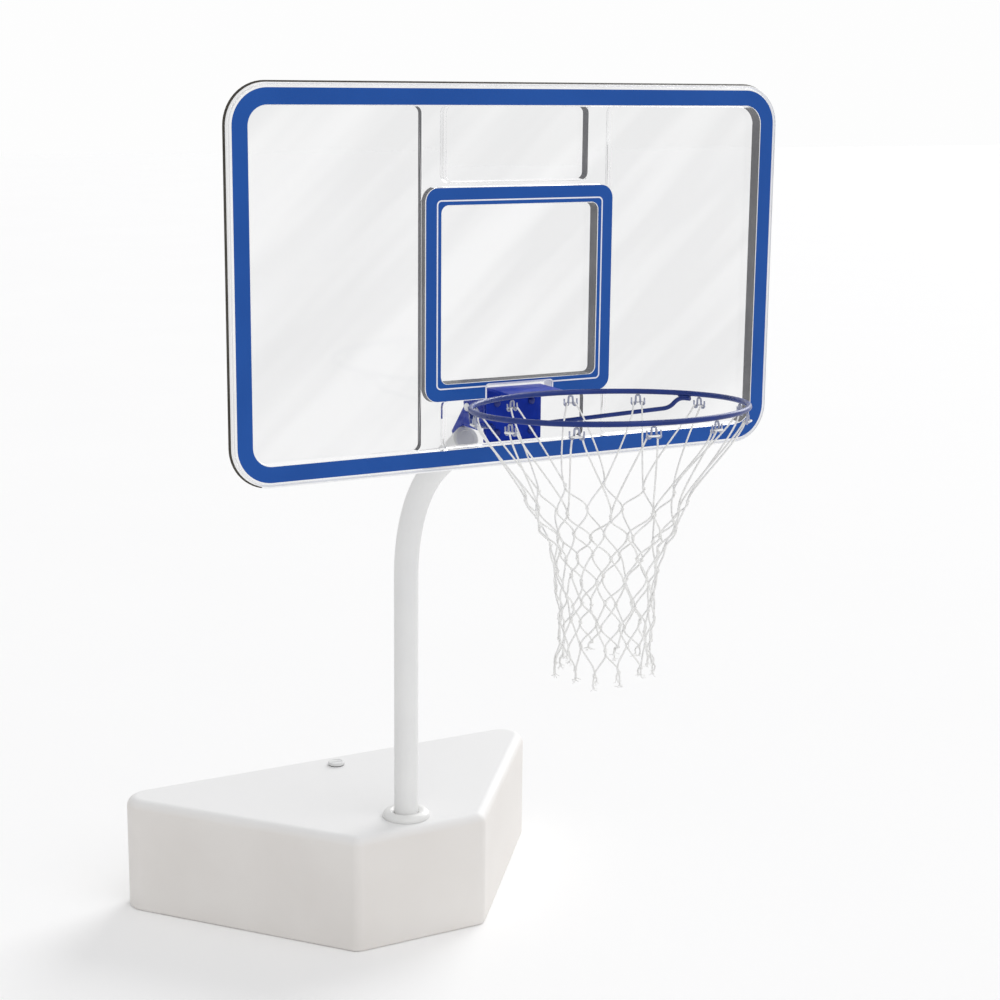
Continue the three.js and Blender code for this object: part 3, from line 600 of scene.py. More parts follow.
def frames_along(points):
    """Two directions across a route at each of its points, turned as little as possible."""
    last = len(points) - 1
    tangents = [(points[min(i + 1, last)] - points[max(i - 1, 0)]).normalized() for i in range(last + 1)]
    across = tangents[0].orthogonal().normalized()
    frames = []
    for index, tangent in enumerate(tangents):
        if index:
            across = tangents[index - 1].rotation_difference(tangent) @ across
        across = (across - tangent * across.dot(tangent)).normalized()
        frames.append((across, tangent.cross(across)))
    return frames


def tube(points, radius, sides):
    """A round rod along a route; its radius is a number, or a function of the route's share."""
    rings = []
    last = len(points) - 1
    for index, (point, (first, second)) in enumerate(zip(points, frames_along(points))):
        size = radius(index / last) if callable(radius) else radius
        rings.append([
            around(point, first, second, size, FULL_TURN * step / sides) for step in range(sides)
        ])
    return capped_band(rings)


def rounded_route(corners, bend, steps):
    """The line through the corners, with each inner corner replaced by a curve."""
    route = [corners[0]]
    for before, corner, after in zip(corners, corners[1:], corners[2:]):
        reach = min(bend, (corner - before).length / 2, (after - corner).length / 2)
        start = corner + (before - corner).normalized() * reach
        end = corner + (after - corner).normalized() * reach
        for share in np.linspace(0, 1, steps + 1):
            route.append(start * (1 - share) ** 2 + corner * (2 * share * (1 - share)) + end * share ** 2)
    route.append(corners[-1])
    return route


def flat_with_holes(outline, holes):
    """A flat face between an outline and its holes, as triangles on their own points."""
    loops = [outline, *holes]
    points = [point for loop in loops for point in loop]
    return points, [list(face) for face in geometry.tessellate_polygon(loops)]


def welded(form, distance=MERGE):
    mesh = bpy.data.meshes.new("welding")
    mesh.from_pydata([tuple(point) for point in form[0]], [], form[1])
    rework = bmesh.new()
    rework.from_mesh(mesh)
    bmesh.ops.remove_doubles(rework, verts=rework.verts, dist=distance)
    rework.to_mesh(mesh)
    rework.free()
    result = [vertex.co.copy() for vertex in mesh.vertices], [list(face.vertices) for face in mesh.polygons]
    bpy.data.meshes.remove(mesh)
    return result


def rounded_plate(name, node):
    """A blue steel CAD node's own form with its edges rounded."""
    rework = bmesh.new()
    rework.from_mesh(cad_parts[node].data)
    bmesh.ops.remove_doubles(rework, verts=rework.verts, dist=MERGE)
    bmesh.ops.dissolve_limit(
        rework, angle_limit=math.radians(1), verts=rework.verts, edges=rework.edges,
    )
    sharp = [edge for edge in rework.edges if edge.is_manifold and edge.calc_face_angle() > SHARP_EDGE]
    bmesh.ops.bevel(
        rework, geom=sharp, offset=PLATE_ROUNDING, segments=3, profile=0.5, affect="EDGES",
        clamp_overlap=True,
    )
    mesh = bpy.data.meshes.new(name)
    rework.to_mesh(mesh)
    rework.free()
    mesh.materials.clear()
    mesh.materials.append(BLUE_STEEL)
    piece = place_mesh(name, mesh, SHARP_EDGE)
    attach(piece, "pole")
    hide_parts(node)


def paint_node(node, material):
    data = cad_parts[node].data
    data.materials.clear()
    data.materials.append(material)


# Tank and fill cap

def tank_outline(amount, height):
    """The tank's plan outline, drawn in by an amount, with the same number of points each time."""
    (front_half, front_edge, front_radius), (rear_half, rear_edge, rear_radius) = TANK_FRONT, TANK_REAR
    lean = math.atan2(rear_half - front_half, rear_edge - front_edge)
    corners = [
        (front_radius, front_edge + front_radius, -QUARTER, -lean),
        (rear_radius, rear_edge - rear_radius, -lean, QUARTER),
    ]
    right = []
    for radius, y, start, end in corners:
        side = front_half + (rear_half - front_half) * (y - front_edge) / (rear_edge - front_edge)
        right += arc((side - radius / math.cos(lean), y), radius - amount, start, end, 10)
    left = [(-x, y) for x, y in reversed(right)]
    return [Vector((x, y, height)) for x, y in right + left]


def pocket(centre, radius, count, floor):
    """A round pocket in the tank's top: its rim, and its wall and floor."""
    rim = circle(radius, count, TANK_HEIGHT, centre)
    foot = circle(radius, count, floor, centre)
    return rim, joined(ring_band([rim, foot]), (foot, [list(range(count))]))


def tank_form():
    turns = np.linspace(0, QUARTER, 9)
    rings = [
        tank_outline(TANK_FOOT_FILLET * (1 - math.sin(a)), TANK_FOOT_FILLET * (1 - math.cos(a)))
        for a in turns[::2]
    ]
    rings += [tank_outline(0, TANK_HEIGHT * share) for share in TANK_SIDE_LEVELS]
    rings += [
        tank_outline(TANK_TOP_FILLET * (1 - math.cos(a)), TANK_HEIGHT - TANK_TOP_FILLET * (1 - math.sin(a)))
        for a in turns
    ]
    rings.append(tank_outline(TANK_TOP_FILLET + TANK_TOP_MARGIN, TANK_HEIGHT))
    well, well_wall = pocket((0, 0), TANK_WELL_RADIUS, 64, TANK_WELL_FLOOR)
    filler, filler_wall = pocket((0, CAP_REACH), FILLER_RADIUS, 48, TANK_HEIGHT - FILLER_DEPTH)
    bottom = rings[0], [list(range(len(rings[0])))]
    top = flat_with_holes(rings[-1], [well, filler])
    return welded(joined(ring_band(rings), bottom, top, well_wall, filler_wall))


def cap_form():
    """The fill cap: a flange with grips, a plug below it and a bar across its dished top."""
    plug, base, top = FILLER_RADIUS - SEAT, TANK_HEIGHT + CAP_GASKET, CAP_HIGH.z
    profile = [(0, CAP_LOW.z), (plug, CAP_LOW.z), (plug, base), (CAP_RADIUS, base)]
    profile.append((CAP_RADIUS, top - CAP_EDGE))
    profile += arc((CAP_RADIUS - CAP_EDGE, top - CAP_EDGE), CAP_EDGE, 0, QUARTER, 4)[1:]
    outer, inner = CAP_DISH_RIM
    profile += [(CAP_RADIUS * outer, top), (CAP_RADIUS * inner, top - CAP_DISH), (0, top - CAP_DISH)]
    points, faces = lathe(profile, 96)
    gripped = []
    for point in points:
        if math.hypot(point.x, point.y) > CAP_RADIUS * 0.95 and point.z > top - CAP_GRIP_HEIGHT:
            angle = math.atan2(point.y, point.x)
            scale = 1 - CAP_GRIP_CUT * max(0.0, math.cos(CAP_GRIPS * angle))
            point = Vector((point.x * scale, point.y * scale, point.z))
        gripped.append(point)
    across, along = CAP_BAR_HALF
    corners = ((-across, -along), (across, -along), (across, along), (-across, along))
    bar = capped_band([
        [Vector((x * scale, y * scale, top - down)) for x, y in corners] for down, scale in CAP_BAR_LEVELS
    ])
    return moved(joined((gripped, faces), bar), Matrix.Translation((0, CAP_REACH, 0)))


def make_tank():
    add_piece("tank_shell", tank_form(), TANK_PLASTIC, "tank", "tank_white", "base_tank", angle=50)
    paint_node("water_ballast", WATER)
    paint_node("pole_sleeve", LIGHT_GREY)
    add_piece("screw_cap", cap_form(), CAP_GREY, "cap", "cap_grey", "fill_cap")
    paint_node("fill_cap_gasket", RUBBER)


# Pole, its plugs and collar

def pole_route():
    centre = (-POLE_BEND_RADIUS, POLE_BEND_START)
    bend = [Vector((0, y, z)) for y, z in arc(centre, POLE_BEND_RADIUS, 0, POLE_BEND, 28)]
    direction = Vector((0, -math.sin(POLE_BEND), math.cos(POLE_BEND)))
    return [Vector((0, 0, POLE_FOOT)), *bend, bend[-1] + direction * POLE_TAIL]


def make_pole():
    route = pole_route()
    across = Vector((1, 0, 0))
    outer, inner = [], []
    for index, point in enumerate(route):
        turned = min(max(index - 1, 0) / (len(route) - 3), 1) * POLE_BEND
        other = Vector((0, math.cos(turned), math.sin(turned)))
        for rings, radius in ((outer, POLE_RADIUS), (inner, POLE_RADIUS - POLE_WALL)):
            rings.append([
                around(point, across, other, radius, a)
                for a in np.linspace(0, FULL_TURN, 56, endpoint=False)
            ])
    tube_form = ring_band(outer + inner[::-1], closed=True)
    add_piece("pole_tube", tube_form, POLE_PAINT, "pole", "pole_paint", "pole", angle=50)
    mouth = Matrix.Translation(route[-1]) @ Matrix.Rotation(POLE_BEND, 4, "X")
    add_piece(
        "end_plug", moved(lathe(plug_profile()), mouth), LIGHT_GREY, "pole", "light_grey_plastic",
        "pole_end_cap",
    )
    paint_node("pole_foot_plug", RUBBER)
    add_piece(
        "collar_ring", lathe(collar_profile(), 96, closed=True), COLLAR_PLASTIC, "collar", "tank_white",
        "pole_collar",
    )


def plug_profile():
    spigot, top = POLE_RADIUS - POLE_WALL - 2 * SEAT, PLUG_EDGE + PLUG_ROUND
    profile = [(0, -PLUG_DEPTH), (spigot, -PLUG_DEPTH), (spigot, SEAT), (POLE_RADIUS, SEAT)]
    profile.append((POLE_RADIUS, PLUG_EDGE))
    profile += arc((POLE_RADIUS - PLUG_ROUND, PLUG_EDGE), PLUG_ROUND, 0, QUARTER, 6)[1:]
    outer, inner = PLUG_DISH_RIM
    return profile + [
        (POLE_RADIUS * outer, top), (POLE_RADIUS * inner, top - PLUG_DISH), (0, top - PLUG_DISH),
    ]


def collar_profile():
    low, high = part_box("pole_collar")
    bore, edge, foot = POLE_RADIUS + COLLAR_GAP, high.x, low.z + COLLAR_FOOT
    crown = bore + COLLAR_CROWN
    profile = [(bore, low.z), (edge - COLLAR_EDGE, low.z), (edge, low.z + COLLAR_EDGE)]
    profile += [
        (crown + (edge - crown) * x, foot + (high.z - foot) * y) for x, y in arc((0, 0), 1, 0, QUARTER, 14)
    ]
    return profile + [(bore + run, high.z - drop) for run, drop in COLLAR_MOUTH]


# Backboard: a moulded sheet whose steps are worked out from distances to its outlines

def wall_profile(depth):
    """Run and drop of a moulded step, from its edge to its foot."""
    turns = np.linspace(0, QUARTER - STEP_DRAFT, FILLET_STEPS + 1)
    top = [(STEP_FILLET * math.sin(a), STEP_FILLET * (1 - math.cos(a))) for a in turns]
    straight = depth - 2 * top[-1][1]
    run = 2 * top[-1][0] + straight * math.tan(STEP_DRAFT)
    return np.array(top + [(run - across, depth - down) for across, down in reversed(top)])


def skirt_profile():
    """Run and depth of the outer wall: a chamfer at its rear edge, then a steep wall up to the front."""
    turns = np.linspace(QUARTER - SKIRT_DRAFT, 0, FILLET_STEPS + 1)
    first = SKIRT_FILLET * (1 - math.cos(turns[0]))
    steep = SKIRT_DEPTH - EDGE_DEPTH - first
    run = EDGE_RUN + SKIRT_FILLET * math.sin(turns[0]) + steep * math.tan(SKIRT_DRAFT)
    top = [(run - SKIRT_FILLET * math.sin(a), SKIRT_FILLET * (1 - math.cos(a))) for a in turns]
    return np.array([(0.0, SKIRT_DEPTH), (EDGE_RUN, SKIRT_DEPTH - EDGE_DEPTH), *top])


def inside_by(area, radius, x, z):
    """How far each point lies inside a rounded rectangle."""
    left, right, bottom, top = area
    across = np.abs(x - (left + right) / 2) - ((right - left) / 2 - radius)
    upward = np.abs(z - (bottom + top) / 2) - ((top - bottom) / 2 - radius)
    beyond = np.hypot(np.maximum(across, 0), np.maximum(upward, 0))
    return radius - beyond - np.minimum(np.maximum(across, upward), 0)


def board_pockets():
    """The area, corner radius and depth of each recess in the field."""
    left, right, bottom, top = FIELD
    low, high = TARGET[2:]
    inner = (TARGET[0] + TARGET_BAND, TARGET[1] - TARGET_BAND, low + TARGET_BAND, high - TARGET_BAND)
    return [
        ((PILLAR_OUTER, right, bottom, top), PANEL_RADIUS, PANEL_DEPTH),
        ((left, -PILLAR_OUTER, bottom, top), PANEL_RADIUS, PANEL_DEPTH),
        ((-PILLAR_INNER, PILLAR_INNER, bottom, low), PANEL_RADIUS, PANEL_DEPTH),
        (inner, PANEL_RADIUS, PANEL_DEPTH),
        ((-PILLAR_INNER, PILLAR_INNER, high + WINDOW_GAP, top), PANEL_RADIUS, WINDOW_DEPTH),
        ((-NOTCH_HALF, NOTCH_HALF, low - PANEL_RADIUS, low + NOTCH_HEIGHT), NOTCH_RADIUS, PANEL_DEPTH),
    ]


def step_depth(x, z, grow):
    """Depth of the moulded steps at each point; grow widens each pocket for the sheet's rear side."""
    field = inside_by(FIELD, FIELD_RADIUS, x, z) + grow
    target = inside_by(TARGET, TARGET_RADIUS, x, z) - grow
    run, drop = wall_profile(PILLAR_DEPTH).T
    depth = np.minimum(np.interp(field, run, drop), np.interp(-target, run, drop))
    for area, radius, deep in board_pockets():
        run, drop = wall_profile(deep).T
        inner = np.minimum(inside_by(area, radius, x, z) + grow, field)
        depth = np.maximum(depth, np.interp(inner, run, drop))
    return depth


def rounded_loop(area, radius, amount, steps=10):
    """A rounded rectangle drawn in by an amount, or drawn out where it is negative."""
    left, right, bottom, top = area
    turn = max(radius - amount, SHARPEST_CORNER)
    left, right, bottom, top = left + amount, right - amount, bottom + amount, top - amount
    corners = [
        (right - turn, bottom + turn, -QUARTER), (right - turn, top - turn, 0),
        (left + turn, top - turn, QUARTER), (left + turn, bottom + turn, math.pi),
    ]
    return [point for x, z, start in corners for point in arc((x, z), turn, start, start + QUARTER, steps)]


def rim_bolt_places():
    return [
        (side * RIM_BOLT_SPREAD, BRACKET_LOW.z + RIM_BOLT_RISE + row * RIM_BOLT_PITCH)
        for side in (-1, 1) for row in (0, 1)
    ]


def bolt_hole(x, z):
    return arc((x, z), RIM_HOLE, 0, FULL_TURN, RIM_HOLE_SIDES)[:-1]


def in_bolt_hole(x, z):
    return any(math.hypot(x - px, z - pz) < RIM_HOLE * IN_HOLE for px, pz in rim_bolt_places())


def board_plan(grow, rim_runs):
    """Triangles over the board's area, with an edge along each bend of each step."""
    loops = [rounded_loop(BOARD_AREA, BOARD_RADIUS, run, BOARD_CORNER_STEPS) for run in rim_runs]
    for run in wall_profile(PILLAR_DEPTH)[:, 0]:
        loops.append(rounded_loop(FIELD, FIELD_RADIUS, run - grow))
        loops.append(rounded_loop(TARGET, TARGET_RADIUS, -(run - grow)))
    for area, radius, deep in board_pockets():
        for run in wall_profile(deep)[:, 0]:
            loops.append(rounded_loop(area, radius, run - grow, POCKET_CORNER_STEPS))
            if deep != PANEL_DEPTH or area[0] > 0:
                loops.append(rounded_loop(FIELD, FIELD_RADIUS, run - grow))
    points, edges = [], []
    for loop in loops + [bolt_hole(x, z) for x, z in rim_bolt_places()]:
        start = len(points)
        points += [Vector(point) for point in loop]
        edges += [(start + i, start + (i + 1) % len(loop)) for i in range(len(loop))]
    made, _, faces, _, _, _ = geometry.delaunay_2d_cdt(points, edges, [], 0, BOARD_MERGE)
    flat = np.array([tuple(point) for point in made])
    kept = []
    for face in faces:
        x, z = flat[list(face)].mean(0)
        if not in_bolt_hole(x, z) and inside_by(BOARD_AREA, BOARD_RADIUS, x, z) > -MERGE:
            kept.append(list(face))
    return flat, kept


def board_side(grow, rim_runs, rim_depths):
    """One side of the sheet, as deep as its steps and its outer wall."""
    flat, faces = board_plan(grow, rim_runs)
    x, z = flat.T
    rim = inside_by(BOARD_AREA, BOARD_RADIUS, x, z)
    depth = np.maximum(step_depth(x, z, grow) + grow, np.interp(rim, rim_runs, rim_depths))
    return [Vector((px, SHEET_FRONT + deep, pz)) for px, deep, pz in zip(x, depth, z)], faces


def board_form():
    skirt_runs, skirt_depths = skirt_profile().T
    front = board_side(0.0, skirt_runs, skirt_depths)
    back_runs = (0.0, REAR_RUN, skirt_runs[-1] + SHEET)
    points, faces = board_side(SHEET, back_runs, (SKIRT_DEPTH, SKIRT_DEPTH, SHEET))
    back = points, [face[::-1] for face in faces]
    holes = [
        ring_band([
            [Vector((px, SHEET_FRONT + PANEL_DEPTH + down, pz)) for px, pz in bolt_hole(x, z)]
            for down in (0.0, SHEET)
        ])
        for x, z in rim_bolt_places()
    ]
    return welded(joined(front, back, *holes), BOARD_MERGE)


def board_slot(face):
    """Which of the sheet's materials a face has: walls that look away from the light, and upward ones inside
    the target, get painted shade, and the outer chamfer's left and top a painted dark reflection.
    """
    x, y, z = face.center
    normal = face.normal
    rim = inside_by(BOARD_AREA, BOARD_RADIUS, x, z)
    if rim < LIP_WIDTH:
        on_chamfer = rim < EDGE_RUN and y < SHEET_FRONT + SKIRT_DEPTH - HAIR
        # painted dark reflection on the chamfer's faces that look left or up
        return DARK_EDGE_SLOT if on_chamfer and (normal.x < -DARK_EDGE_TURN or normal.z > DARK_EDGE_TURN) else LIP_SLOT
    if abs(normal.y) >= WALL_TURN:
        return CLEAR_SLOT
    if abs(x) < NOTCH_HALF + NOTCH_MARGIN[0] and 0 < z - TARGET[2] < NOTCH_HEIGHT + NOTCH_MARGIN[1]:
        return LIP_SLOT
    # painted shade: walls that look away from the light, and upward walls inside the target, take the dark
    # copy
    in_target = inside_by(TARGET, TARGET_RADIUS, x, z) > TARGET_BAND - WINDOW_MARGIN
    shaded = normal.x < -SHADED_TURN or (in_target and normal.z > SHADED_TURN)
    return SHADED_SLOT if shaded and normal.y < 0 else LIT_SLOT


def make_board():
    materials = [CLEAR, SHADED_WALL, LIT_WALL, CLEAR_LIP, CLEAR_EDGE_PAINTED_DARK]
    piece = mesh_object("clear_board", board_form(), materials, 30)
    for face in piece.data.polygons:
        face.material_index = board_slot(face)
    piece.visible_shadow = False
    piece.visible_diffuse = False
    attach(piece, "pole")
    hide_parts("backboard_sheet")
    paint_node("border_band", BLUE_PRINT)
    paint_node("target_frame", BLUE_PRINT)
    paint_node("target_pinstripe", WHITE_PRINT)
    make_notch_trim()


def make_notch_trim():
    """A white line printed round the notch that the bracket's shelf passes through."""
    top = TARGET[2] + NOTCH_HEIGHT
    path = [(Vector((-NOTCH_HALF, 0, TARGET[2])), Vector((-1, 0, 0)))]
    for side, start, end in ((-1, math.pi, QUARTER), (1, QUARTER, 0)):
        centre = Vector((side * (NOTCH_HALF - NOTCH_RADIUS), 0, top - NOTCH_RADIUS))
        for angle in np.linspace(start, end, 7):
            outward = Vector((math.cos(angle), 0, math.sin(angle)))
            path.append((centre + outward * NOTCH_RADIUS, outward))
    path.append((Vector((NOTCH_HALF, 0, TARGET[2])), Vector((1, 0, 0))))
    inner, outer = TRIM_RUN
    section = ((inner, 1), (outer, 1), (outer, 2), (inner, 2))
    rings = [
        [point + outward * run + Vector((0, BOARD_FRONT - layer * FILM, 0)) for run, layer in section]
        for point, outward in path
    ]
    add_piece("notch_trim", capped_band(rings), WHITE_PRINT, "pole", "white_print")


# Fasteners

def bolt_form(length, width, shank, head_height):
    """A domed bolt along +Z, with its head's outer side at the foot."""
    head = width / 2
    dome = [(head * math.cos(a), head_height * (1 - math.sin(a))) for a in np.linspace(QUARTER, 0, 9)]
    profile = [(0, 0), *dome[1:], (head, head_height), (shank, head_height)]
    profile += [(shank, length - BOLT_END[1]), (shank - BOLT_END[0], length), (0, length)]
    return lathe(profile, 40)


def nut_form(length, width, bore):
    """A hexagon nut along +Z, with its corners chamfered."""
    corner = width / 2
    flat = corner * math.cos(math.pi / 6)
    face = flat * NUT_FACE

    def hexagon(level, inwards):
        points = []
        for step in range(NUT_SIDES):
            angle = FULL_TURN * step / NUT_SIDES
            within = (angle + math.pi / 6) % (math.pi / 3) - math.pi / 6
            radius = min(flat / math.cos(within), corner)
            cut = inwards * max(0.0, radius - flat) * math.tan(NUT_CHAMFER)
            points.append(Vector((radius * math.cos(angle), radius * math.sin(angle), level + cut)))
        return points

    rings = [
        circle(bore, NUT_SIDES, 0), circle(face, NUT_SIDES, 0), hexagon(0, 1), hexagon(length, -1),
        circle(face, NUT_SIDES, length), circle(bore, NUT_SIDES, length),
    ]
    return ring_band(rings, True)


def add_fastener(name, node, turn, material, slot, make_form, *sizes):
    """A bolt or nut, with the place, length and width of its CAD node."""
    low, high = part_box(node)
    axis = 0 if turn is along_x else 1
    size, place = high - low, (low + high) / 2
    place[axis] = low[axis]
    width = max(size[1 - axis], size.z)
    form = moved(make_form(size[axis], width, *sizes), Matrix.Translation(place) @ turn)
    add_piece(name, form, material, "pole", slot, node)


def make_fasteners():
    steel = (BRIGHT_STEEL, "bright_steel")
    for index in (1, 2, 3, 4):
        add_fastener(
            f"carriage_bolt_{index}", f"rim_bolt_{index}", along_y, BOLT_BLUE, "blue_steel",
            bolt_form, RIM_BOLT_SHANK, RIM_BOLT_HEAD,
        )
        add_fastener(f"hex_nut_{index}", f"rim_nut_{index}", along_y, *steel, nut_form, RIM_HOLE)
    for index in (1, 2):
        add_fastener(
            f"cross_bolt_{index}", f"head_bolt_{index}", along_x, *steel,
            bolt_form, HEAD_BOLT_SHANK, HEAD_BOLT_HEAD,
        )
        add_fastener(f"cross_nut_{index}", f"head_nut_{index}", along_x, *steel, nut_form, HEAD_NUT_BORE)


# Rim

def beside_ring(angle, outward=0.0, up=0.0):
    radius = RING_RADIUS + outward
    return rim_plane @ Vector((radius * math.cos(angle), radius * math.sin(angle) - RING_RADIUS, up))


def bead(route, radius, rng):
    """A weld bead: a low rod with ripples."""
    lumps = [
        1 + BEAD_RIPPLE * math.sin(index * BEAD_STEP) + rng.uniform(-BEAD_UNEVEN, BEAD_UNEVEN)
        for index in range(len(route))
    ]
    last = len(route) - 1

    def size(share):
        ends = math.sqrt(max(0.02, 1 - abs(2 * share - 1) ** 6))
        return radius * ends * lumps[round(share * last)]

    return tube(route, size, 10)


def ring_beads(rng):
    """The beads between ring and bracket, above and below, then those along the braces' ends."""
    beads = []
    half = math.asin((BRACKET_HIGH.x - RING_BEAD_MARGIN) / RING_RADIUS)
    for share in (RING_BEAD_UP, -RING_BEAD_UP):
        angles = np.linspace(QUARTER - half, QUARTER + half, 46)
        route = [beside_ring(a, RING_ROD * RING_BEAD_OUT, RING_ROD * share) for a in angles]
        beads.append(bead(route, RING_BEAD, rng))
    angles = np.linspace(BRACE_WELD_ANGLE - BRACE_WELD_HALF, BRACE_WELD_ANGLE + BRACE_WELD_HALF, 16)
    for side in (1, -1):
        for outward in (BRACE_BEAD_OUT, -BRACE_BEAD_OUT):
            route = [beside_ring(a, outward, -RING_ROD - BRACE_BEAD_DROP) for a in angles]
            mirrored = [Vector((side * point.x, point.y, point.z)) for point in route]
            beads.append(bead(mirrored, BRACE_BEAD, rng))
    return beads


def brace_form(side, rng):
    """A rod from the bracket, out and up to a weld below the ring, with a bead round its foot."""
    up = -RING_ROD - SEAT - BRACE_RADIUS
    weld = [beside_ring(BRACE_WELD_ANGLE + step * BRACE_WELD_HALF, 0, up) for step in (1, -1)]
    foot = Vector((BRACE_FOOT[0], BRACKET_FRONT - SEAT, BRACKET_LOW.z + BRACE_FOOT[1]))
    elbow = foot + Vector((0, -BRACE_FOOT_LENGTH, 0))
    towards = weld[0] - elbow
    towards.z = 0
    knee = weld[0] - towards.normalized() * BRACE_KNEE[0] - UP * BRACE_KNEE[1]
    route = rounded_route([foot, elbow, knee, *weld], BRACE_BEND, 8)
    placed = [Vector((side * point.x, point.y, point.z)) for point in route]
    foot_bead = [
        Vector((x, foot.y - FOOT_BEAD_LIFT, z))
        for x, z in arc((side * foot.x, foot.z), FOOT_BEAD_RADIUS, 0, FOOT_BEAD_TURN, 21)
    ]
    return joined(tube(placed, BRACE_RADIUS, 20), bead(foot_bead, FOOT_BEAD, rng))


def make_rim():
    rng = random.Random(SEED)
    rings = [
        [
            beside_ring(angle, RING_ROD * math.cos(a), RING_ROD * math.sin(a))
            for a in np.linspace(0, FULL_TURN, 20, endpoint=False)
        ]
        for angle in np.linspace(0, FULL_TURN, 240, endpoint=False)
    ]
    hoop = joined(ring_band(rings, closed=True), *ring_beads(rng))
    add_piece("rim_hoop", hoop, ROD_BLUE, "pole", "blue_steel", "rim_ring", angle=60)
    for side, name in ((-1, "left"), (1, "right")):
        form = brace_form(side, rng)
        add_piece(f"brace_rod_{name}", form, ROD_BLUE, "pole", "blue_steel", f"brace_{name}", angle=60)
    rounded_plate("rim_plate", "rim_bracket")
    rounded_plate("carrier_plate", "board_carrier")
    rounded_plate("head_lug", "pole_head_lug")


# Hooks

def hook_form():
    """A wire bent over the ring's underside into two cups, with both ends turned up."""
    crown = -HOOK_WIRE - SEAT
    cup_middle = crown - HOOK_DROP + HOOK_CUP
    cup = arc((HOOK_SPREAD, cup_middle), HOOK_CUP, math.pi, FULL_TURN, 10)
    half = [(HOOK_CROWN, crown), *cup, (HOOK_SPREAD + HOOK_CUP, cup_middle + HOOK_TIP)]
    line = [(-x, z) for x, z in reversed(half)] + half
    route = rounded_route([Vector((x, 0, z)) for x, z in line], HOOK_BEND, 4)
    last = len(route) - 1

    def size(share):
        return HOOK_WIRE * (1.0 if min(share, 1 - share) * last > 1.5 else HOOK_END)

    return tube(route, size, 12)


def make_hooks():
    form = hook_form()
    for index in range(HOOKS):
        angle = FULL_TURN * (index + 0.5) / HOOKS
        below = (RING_RADIUS * math.cos(angle), RING_RADIUS * (math.sin(angle) - 1), -RING_ROD)
        place = rim_plane @ Matrix.Translation(below) @ Matrix.Rotation(angle + QUARTER, 4, "Z")
        number = f"{index + 1:02d}"
        add_piece(
            f"hook_wire_{number}", moved(form, place), HOOK_STEEL, "pole", "hook_wire",
            f"net_hook_{number}", angle=60,
        )


# Net

def around_net(angle, radius, height):
    return Vector((radius * math.cos(angle), radius * math.sin(angle) - RING_REACH, height))


def outward_and_aside(point):
    """The directions away from the net's axis and round it."""
    radial = Vector((point.x, point.y + RING_REACH, 0)).normalized()
    return radial, UP.cross(radial)


def make_knots(rng):
    """The middle of each knot, by row and column, a little out of line."""
    knots = []
    for row, share in enumerate(NET_SHARES):
        line = []
        loose = NET_LOOSE[0] + NET_LOOSE[1] * row / len(NET_SHARES)
        for column in range(HOOKS):
            angle = FULL_TURN * (column + (row % 2) / 2) / HOOKS
            radius = RING_INNER * share + rng.uniform(-loose, loose)
            height = RING_REAR_HEIGHT - NET_FIRST_DROP - row * NET_PITCH + rng.uniform(-loose, loose)
            line.append(around_net(angle + rng.uniform(-loose, loose) / radius, radius, height))
        knots.append(line)
    return knots


def twine_form(route, radius, phase):
    """Twisted twine: a section with one lobe for each ply, turning along the route."""
    rings, travelled = [], 0.0
    count = TWINE_PLIES * 3
    for index, (point, (first, second)) in enumerate(zip(route, frames_along(route))):
        if index:
            travelled += (point - route[index - 1]).length
        turn = phase + FULL_TURN * travelled / TWINE_PITCH
        ring = []
        for step in range(count):
            angle = FULL_TURN * step / count
            size = radius * (1 - TWINE_RIPPLE + TWINE_RIPPLE * math.cos(TWINE_PLIES * angle))
            ring.append(around(point, first, second, size, angle + turn))
        rings.append(ring)
    return capped_band(rings)


def hung_curve(start, end, rng, lean, bow):
    """A strand that leaves and enters its knots turned towards the upright, with a bow to one side."""
    length = (end - start).length
    radial, aside = outward_and_aside(start)

    def pulled(point, share):
        upright = Vector((0, 0, share * length))
        return point + upright + aside * rng.uniform(-bow, bow) + radial * rng.uniform(-bow, bow)

    first, second = pulled(start, -lean), pulled(end, lean)
    return [
        start * (1 - t) ** 3 + first * (3 * t * (1 - t) ** 2) + second * (3 * t * t * (1 - t)) + end * t ** 3
        for t in np.linspace(0, 1, max(8, round(length / TWINE_STEP)))
    ]


def knot_form(middle, rng):
    """A few tight turns of twine round the strands that meet."""
    tilt = [rng.uniform(-KNOT_TILT, KNOT_TILT) for _ in range(2)]
    axis = Vector((*tilt, 1)).normalized()
    first = axis.orthogonal().normalized()
    second = axis.cross(first)
    start = rng.uniform(0, FULL_TURN)
    route = []
    for share in np.linspace(0, 1, 24):
        angle = start + share * FULL_TURN * KNOT_TURNS
        radius = KNOT_RADIUS + KNOT_RIPPLE * math.sin(3 * angle)
        level = middle + axis * ((share - 0.5) * KNOT_HEIGHT)
        route.append(around(level, first, second, radius, angle))
    return tube(route, KNOT_TWINE, 7)


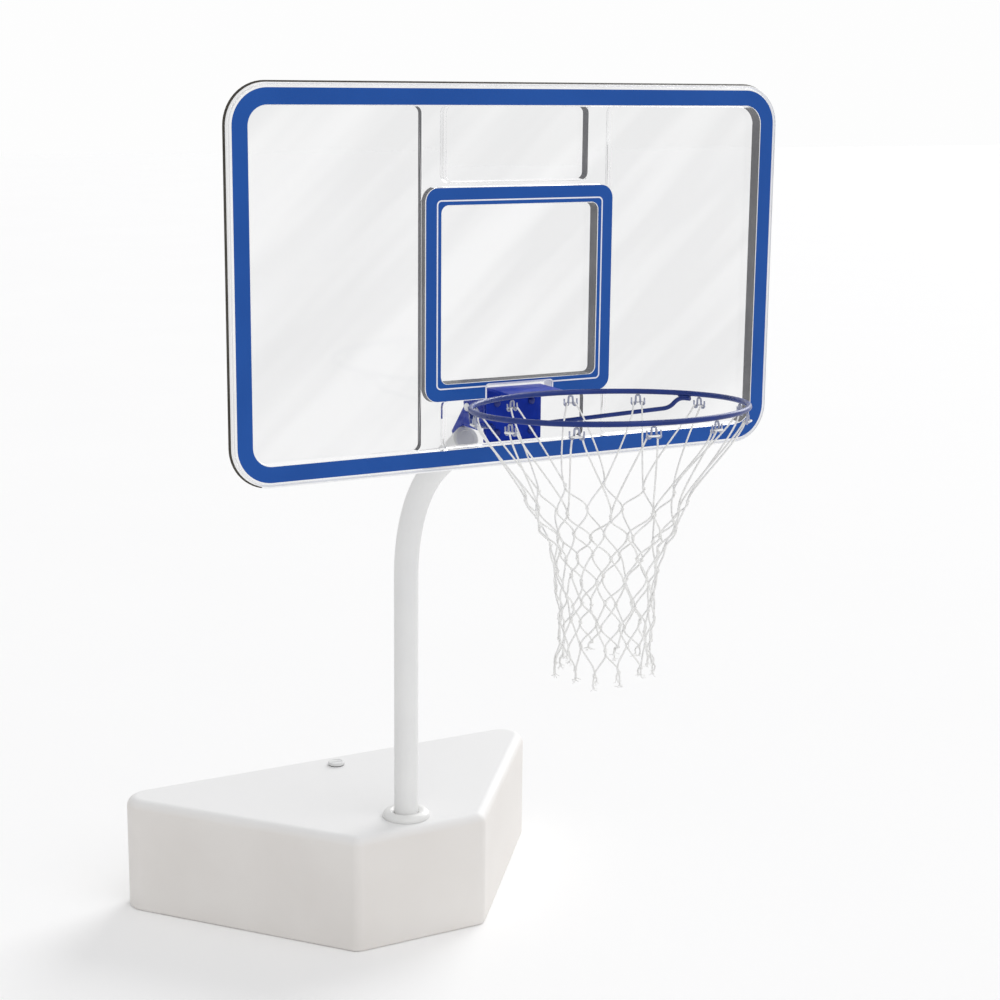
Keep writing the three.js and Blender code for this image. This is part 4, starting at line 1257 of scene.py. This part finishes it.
def frayed_end(top, rng):
    """A cut end of twine: a short twisted length, then its plies, which curl apart."""
    radial, aside = outward_and_aside(top)
    drift = radial * rng.uniform(*FRAY_OUT) + aside * rng.uniform(-FRAY_ASIDE, FRAY_ASIDE)
    end = top + drift - UP * rng.uniform(*FRAY_LENGTH)
    curve = [top + (end - top) * t + drift * (0.5 * math.sin(math.pi * t)) for t in np.linspace(0, 1, 9)]
    forms = [twine_form(curve, FRAY_TWINE, rng.uniform(0, TWIST_SPREAD))]
    for _ in range(FRAY_PLIES):
        spin = rng.uniform(0, FULL_TURN)
        out = around(Vector(), radial, aside, 1, spin)
        reach = rng.uniform(*FRAY_REACH)
        drop = rng.uniform(*FRAY_DROP)
        curl = rng.uniform(-FRAY_CURL, FRAY_CURL)
        strand = [
            end + out * (FRAY_PLY + reach * t * t) - UP * (drop * t * (1 - FRAY_SLOWING * t))
            + aside * (curl * math.sin(FULL_TURN * FRAY_CURL_TURNS * t) * t)
            for t in np.linspace(-0.1, 1, 9)
        ]
        forms.append(tube(strand, FRAY_PLY, 5))
    return joined(*forms)


def loop_route(knots, index, rng):
    """From a knot up to a hook, across its two cups, and down to the next knot."""
    angle = FULL_TURN * (index + 0.5) / HOOKS
    turn, cross = HOOK_SPREAD / RING_RADIUS, LOOP_CROSSING
    up = TWINE - RING_ROD - HOOK_DROP
    cups = ((-turn, -cross), (-turn, cross), (turn, cross), (turn, -cross))
    across = [beside_ring(angle + aside, outward, up) for aside, outward in cups]
    start, end = knots[0][index], knots[0][(index + 1) % HOOKS]
    rise = hung_curve(across[0], start, rng, LOOP_LEAN, LOOP_BOW)[::-1]
    fall = hung_curve(across[3], end, rng, LOOP_LEAN, LOOP_BOW)
    middle = rounded_route([rise[-2], *across, fall[1]], LOOP_BEND, 4)
    return rise[:-2] + middle + fall[2:]


def make_net():
    rng = random.Random(SEED)
    knots = make_knots(rng)
    forms = [
        twine_form(loop_route(knots, index, rng), TWINE, rng.uniform(0, TWIST_SPREAD))
        for index in range(HOOKS)
    ]
    for row, line in enumerate(knots):
        for column, knot in enumerate(line):
            forms.append(knot_form(knot, rng))
            if row == len(knots) - 1:
                forms += [frayed_end(knot + UP * FRAY_START, rng) for _ in range(FRAYS)]
                continue
            after = column + row % 2
            for target in (after, after - 1):
                below = knots[row + 1][target % HOOKS]
                strand = hung_curve(knot, below, rng, STRAND_LEAN, STRAND_BOW)
                forms.append(twine_form(strand, TWINE, rng.uniform(0, TWIST_SPREAD)))
    add_piece("twine_net", joined(*forms), TWINE_WHITE, "pole", "net_twine", "net", angle=80)


# Floor

def make_floor():
    corners = ((-1, -1), (1, -1), (1, 1), (-1, 1))
    form = [Vector((x * FLOOR_HALF, y * FLOOR_HALF, 0)) for x, y in corners], [[0, 1, 2, 3]]
    mesh_object("floor", form, [FLOOR])


make_camera()
make_light()
make_floor()
make_tank()
make_pole()
make_board()
make_fasteners()
make_rim()
make_hooks()
make_net()
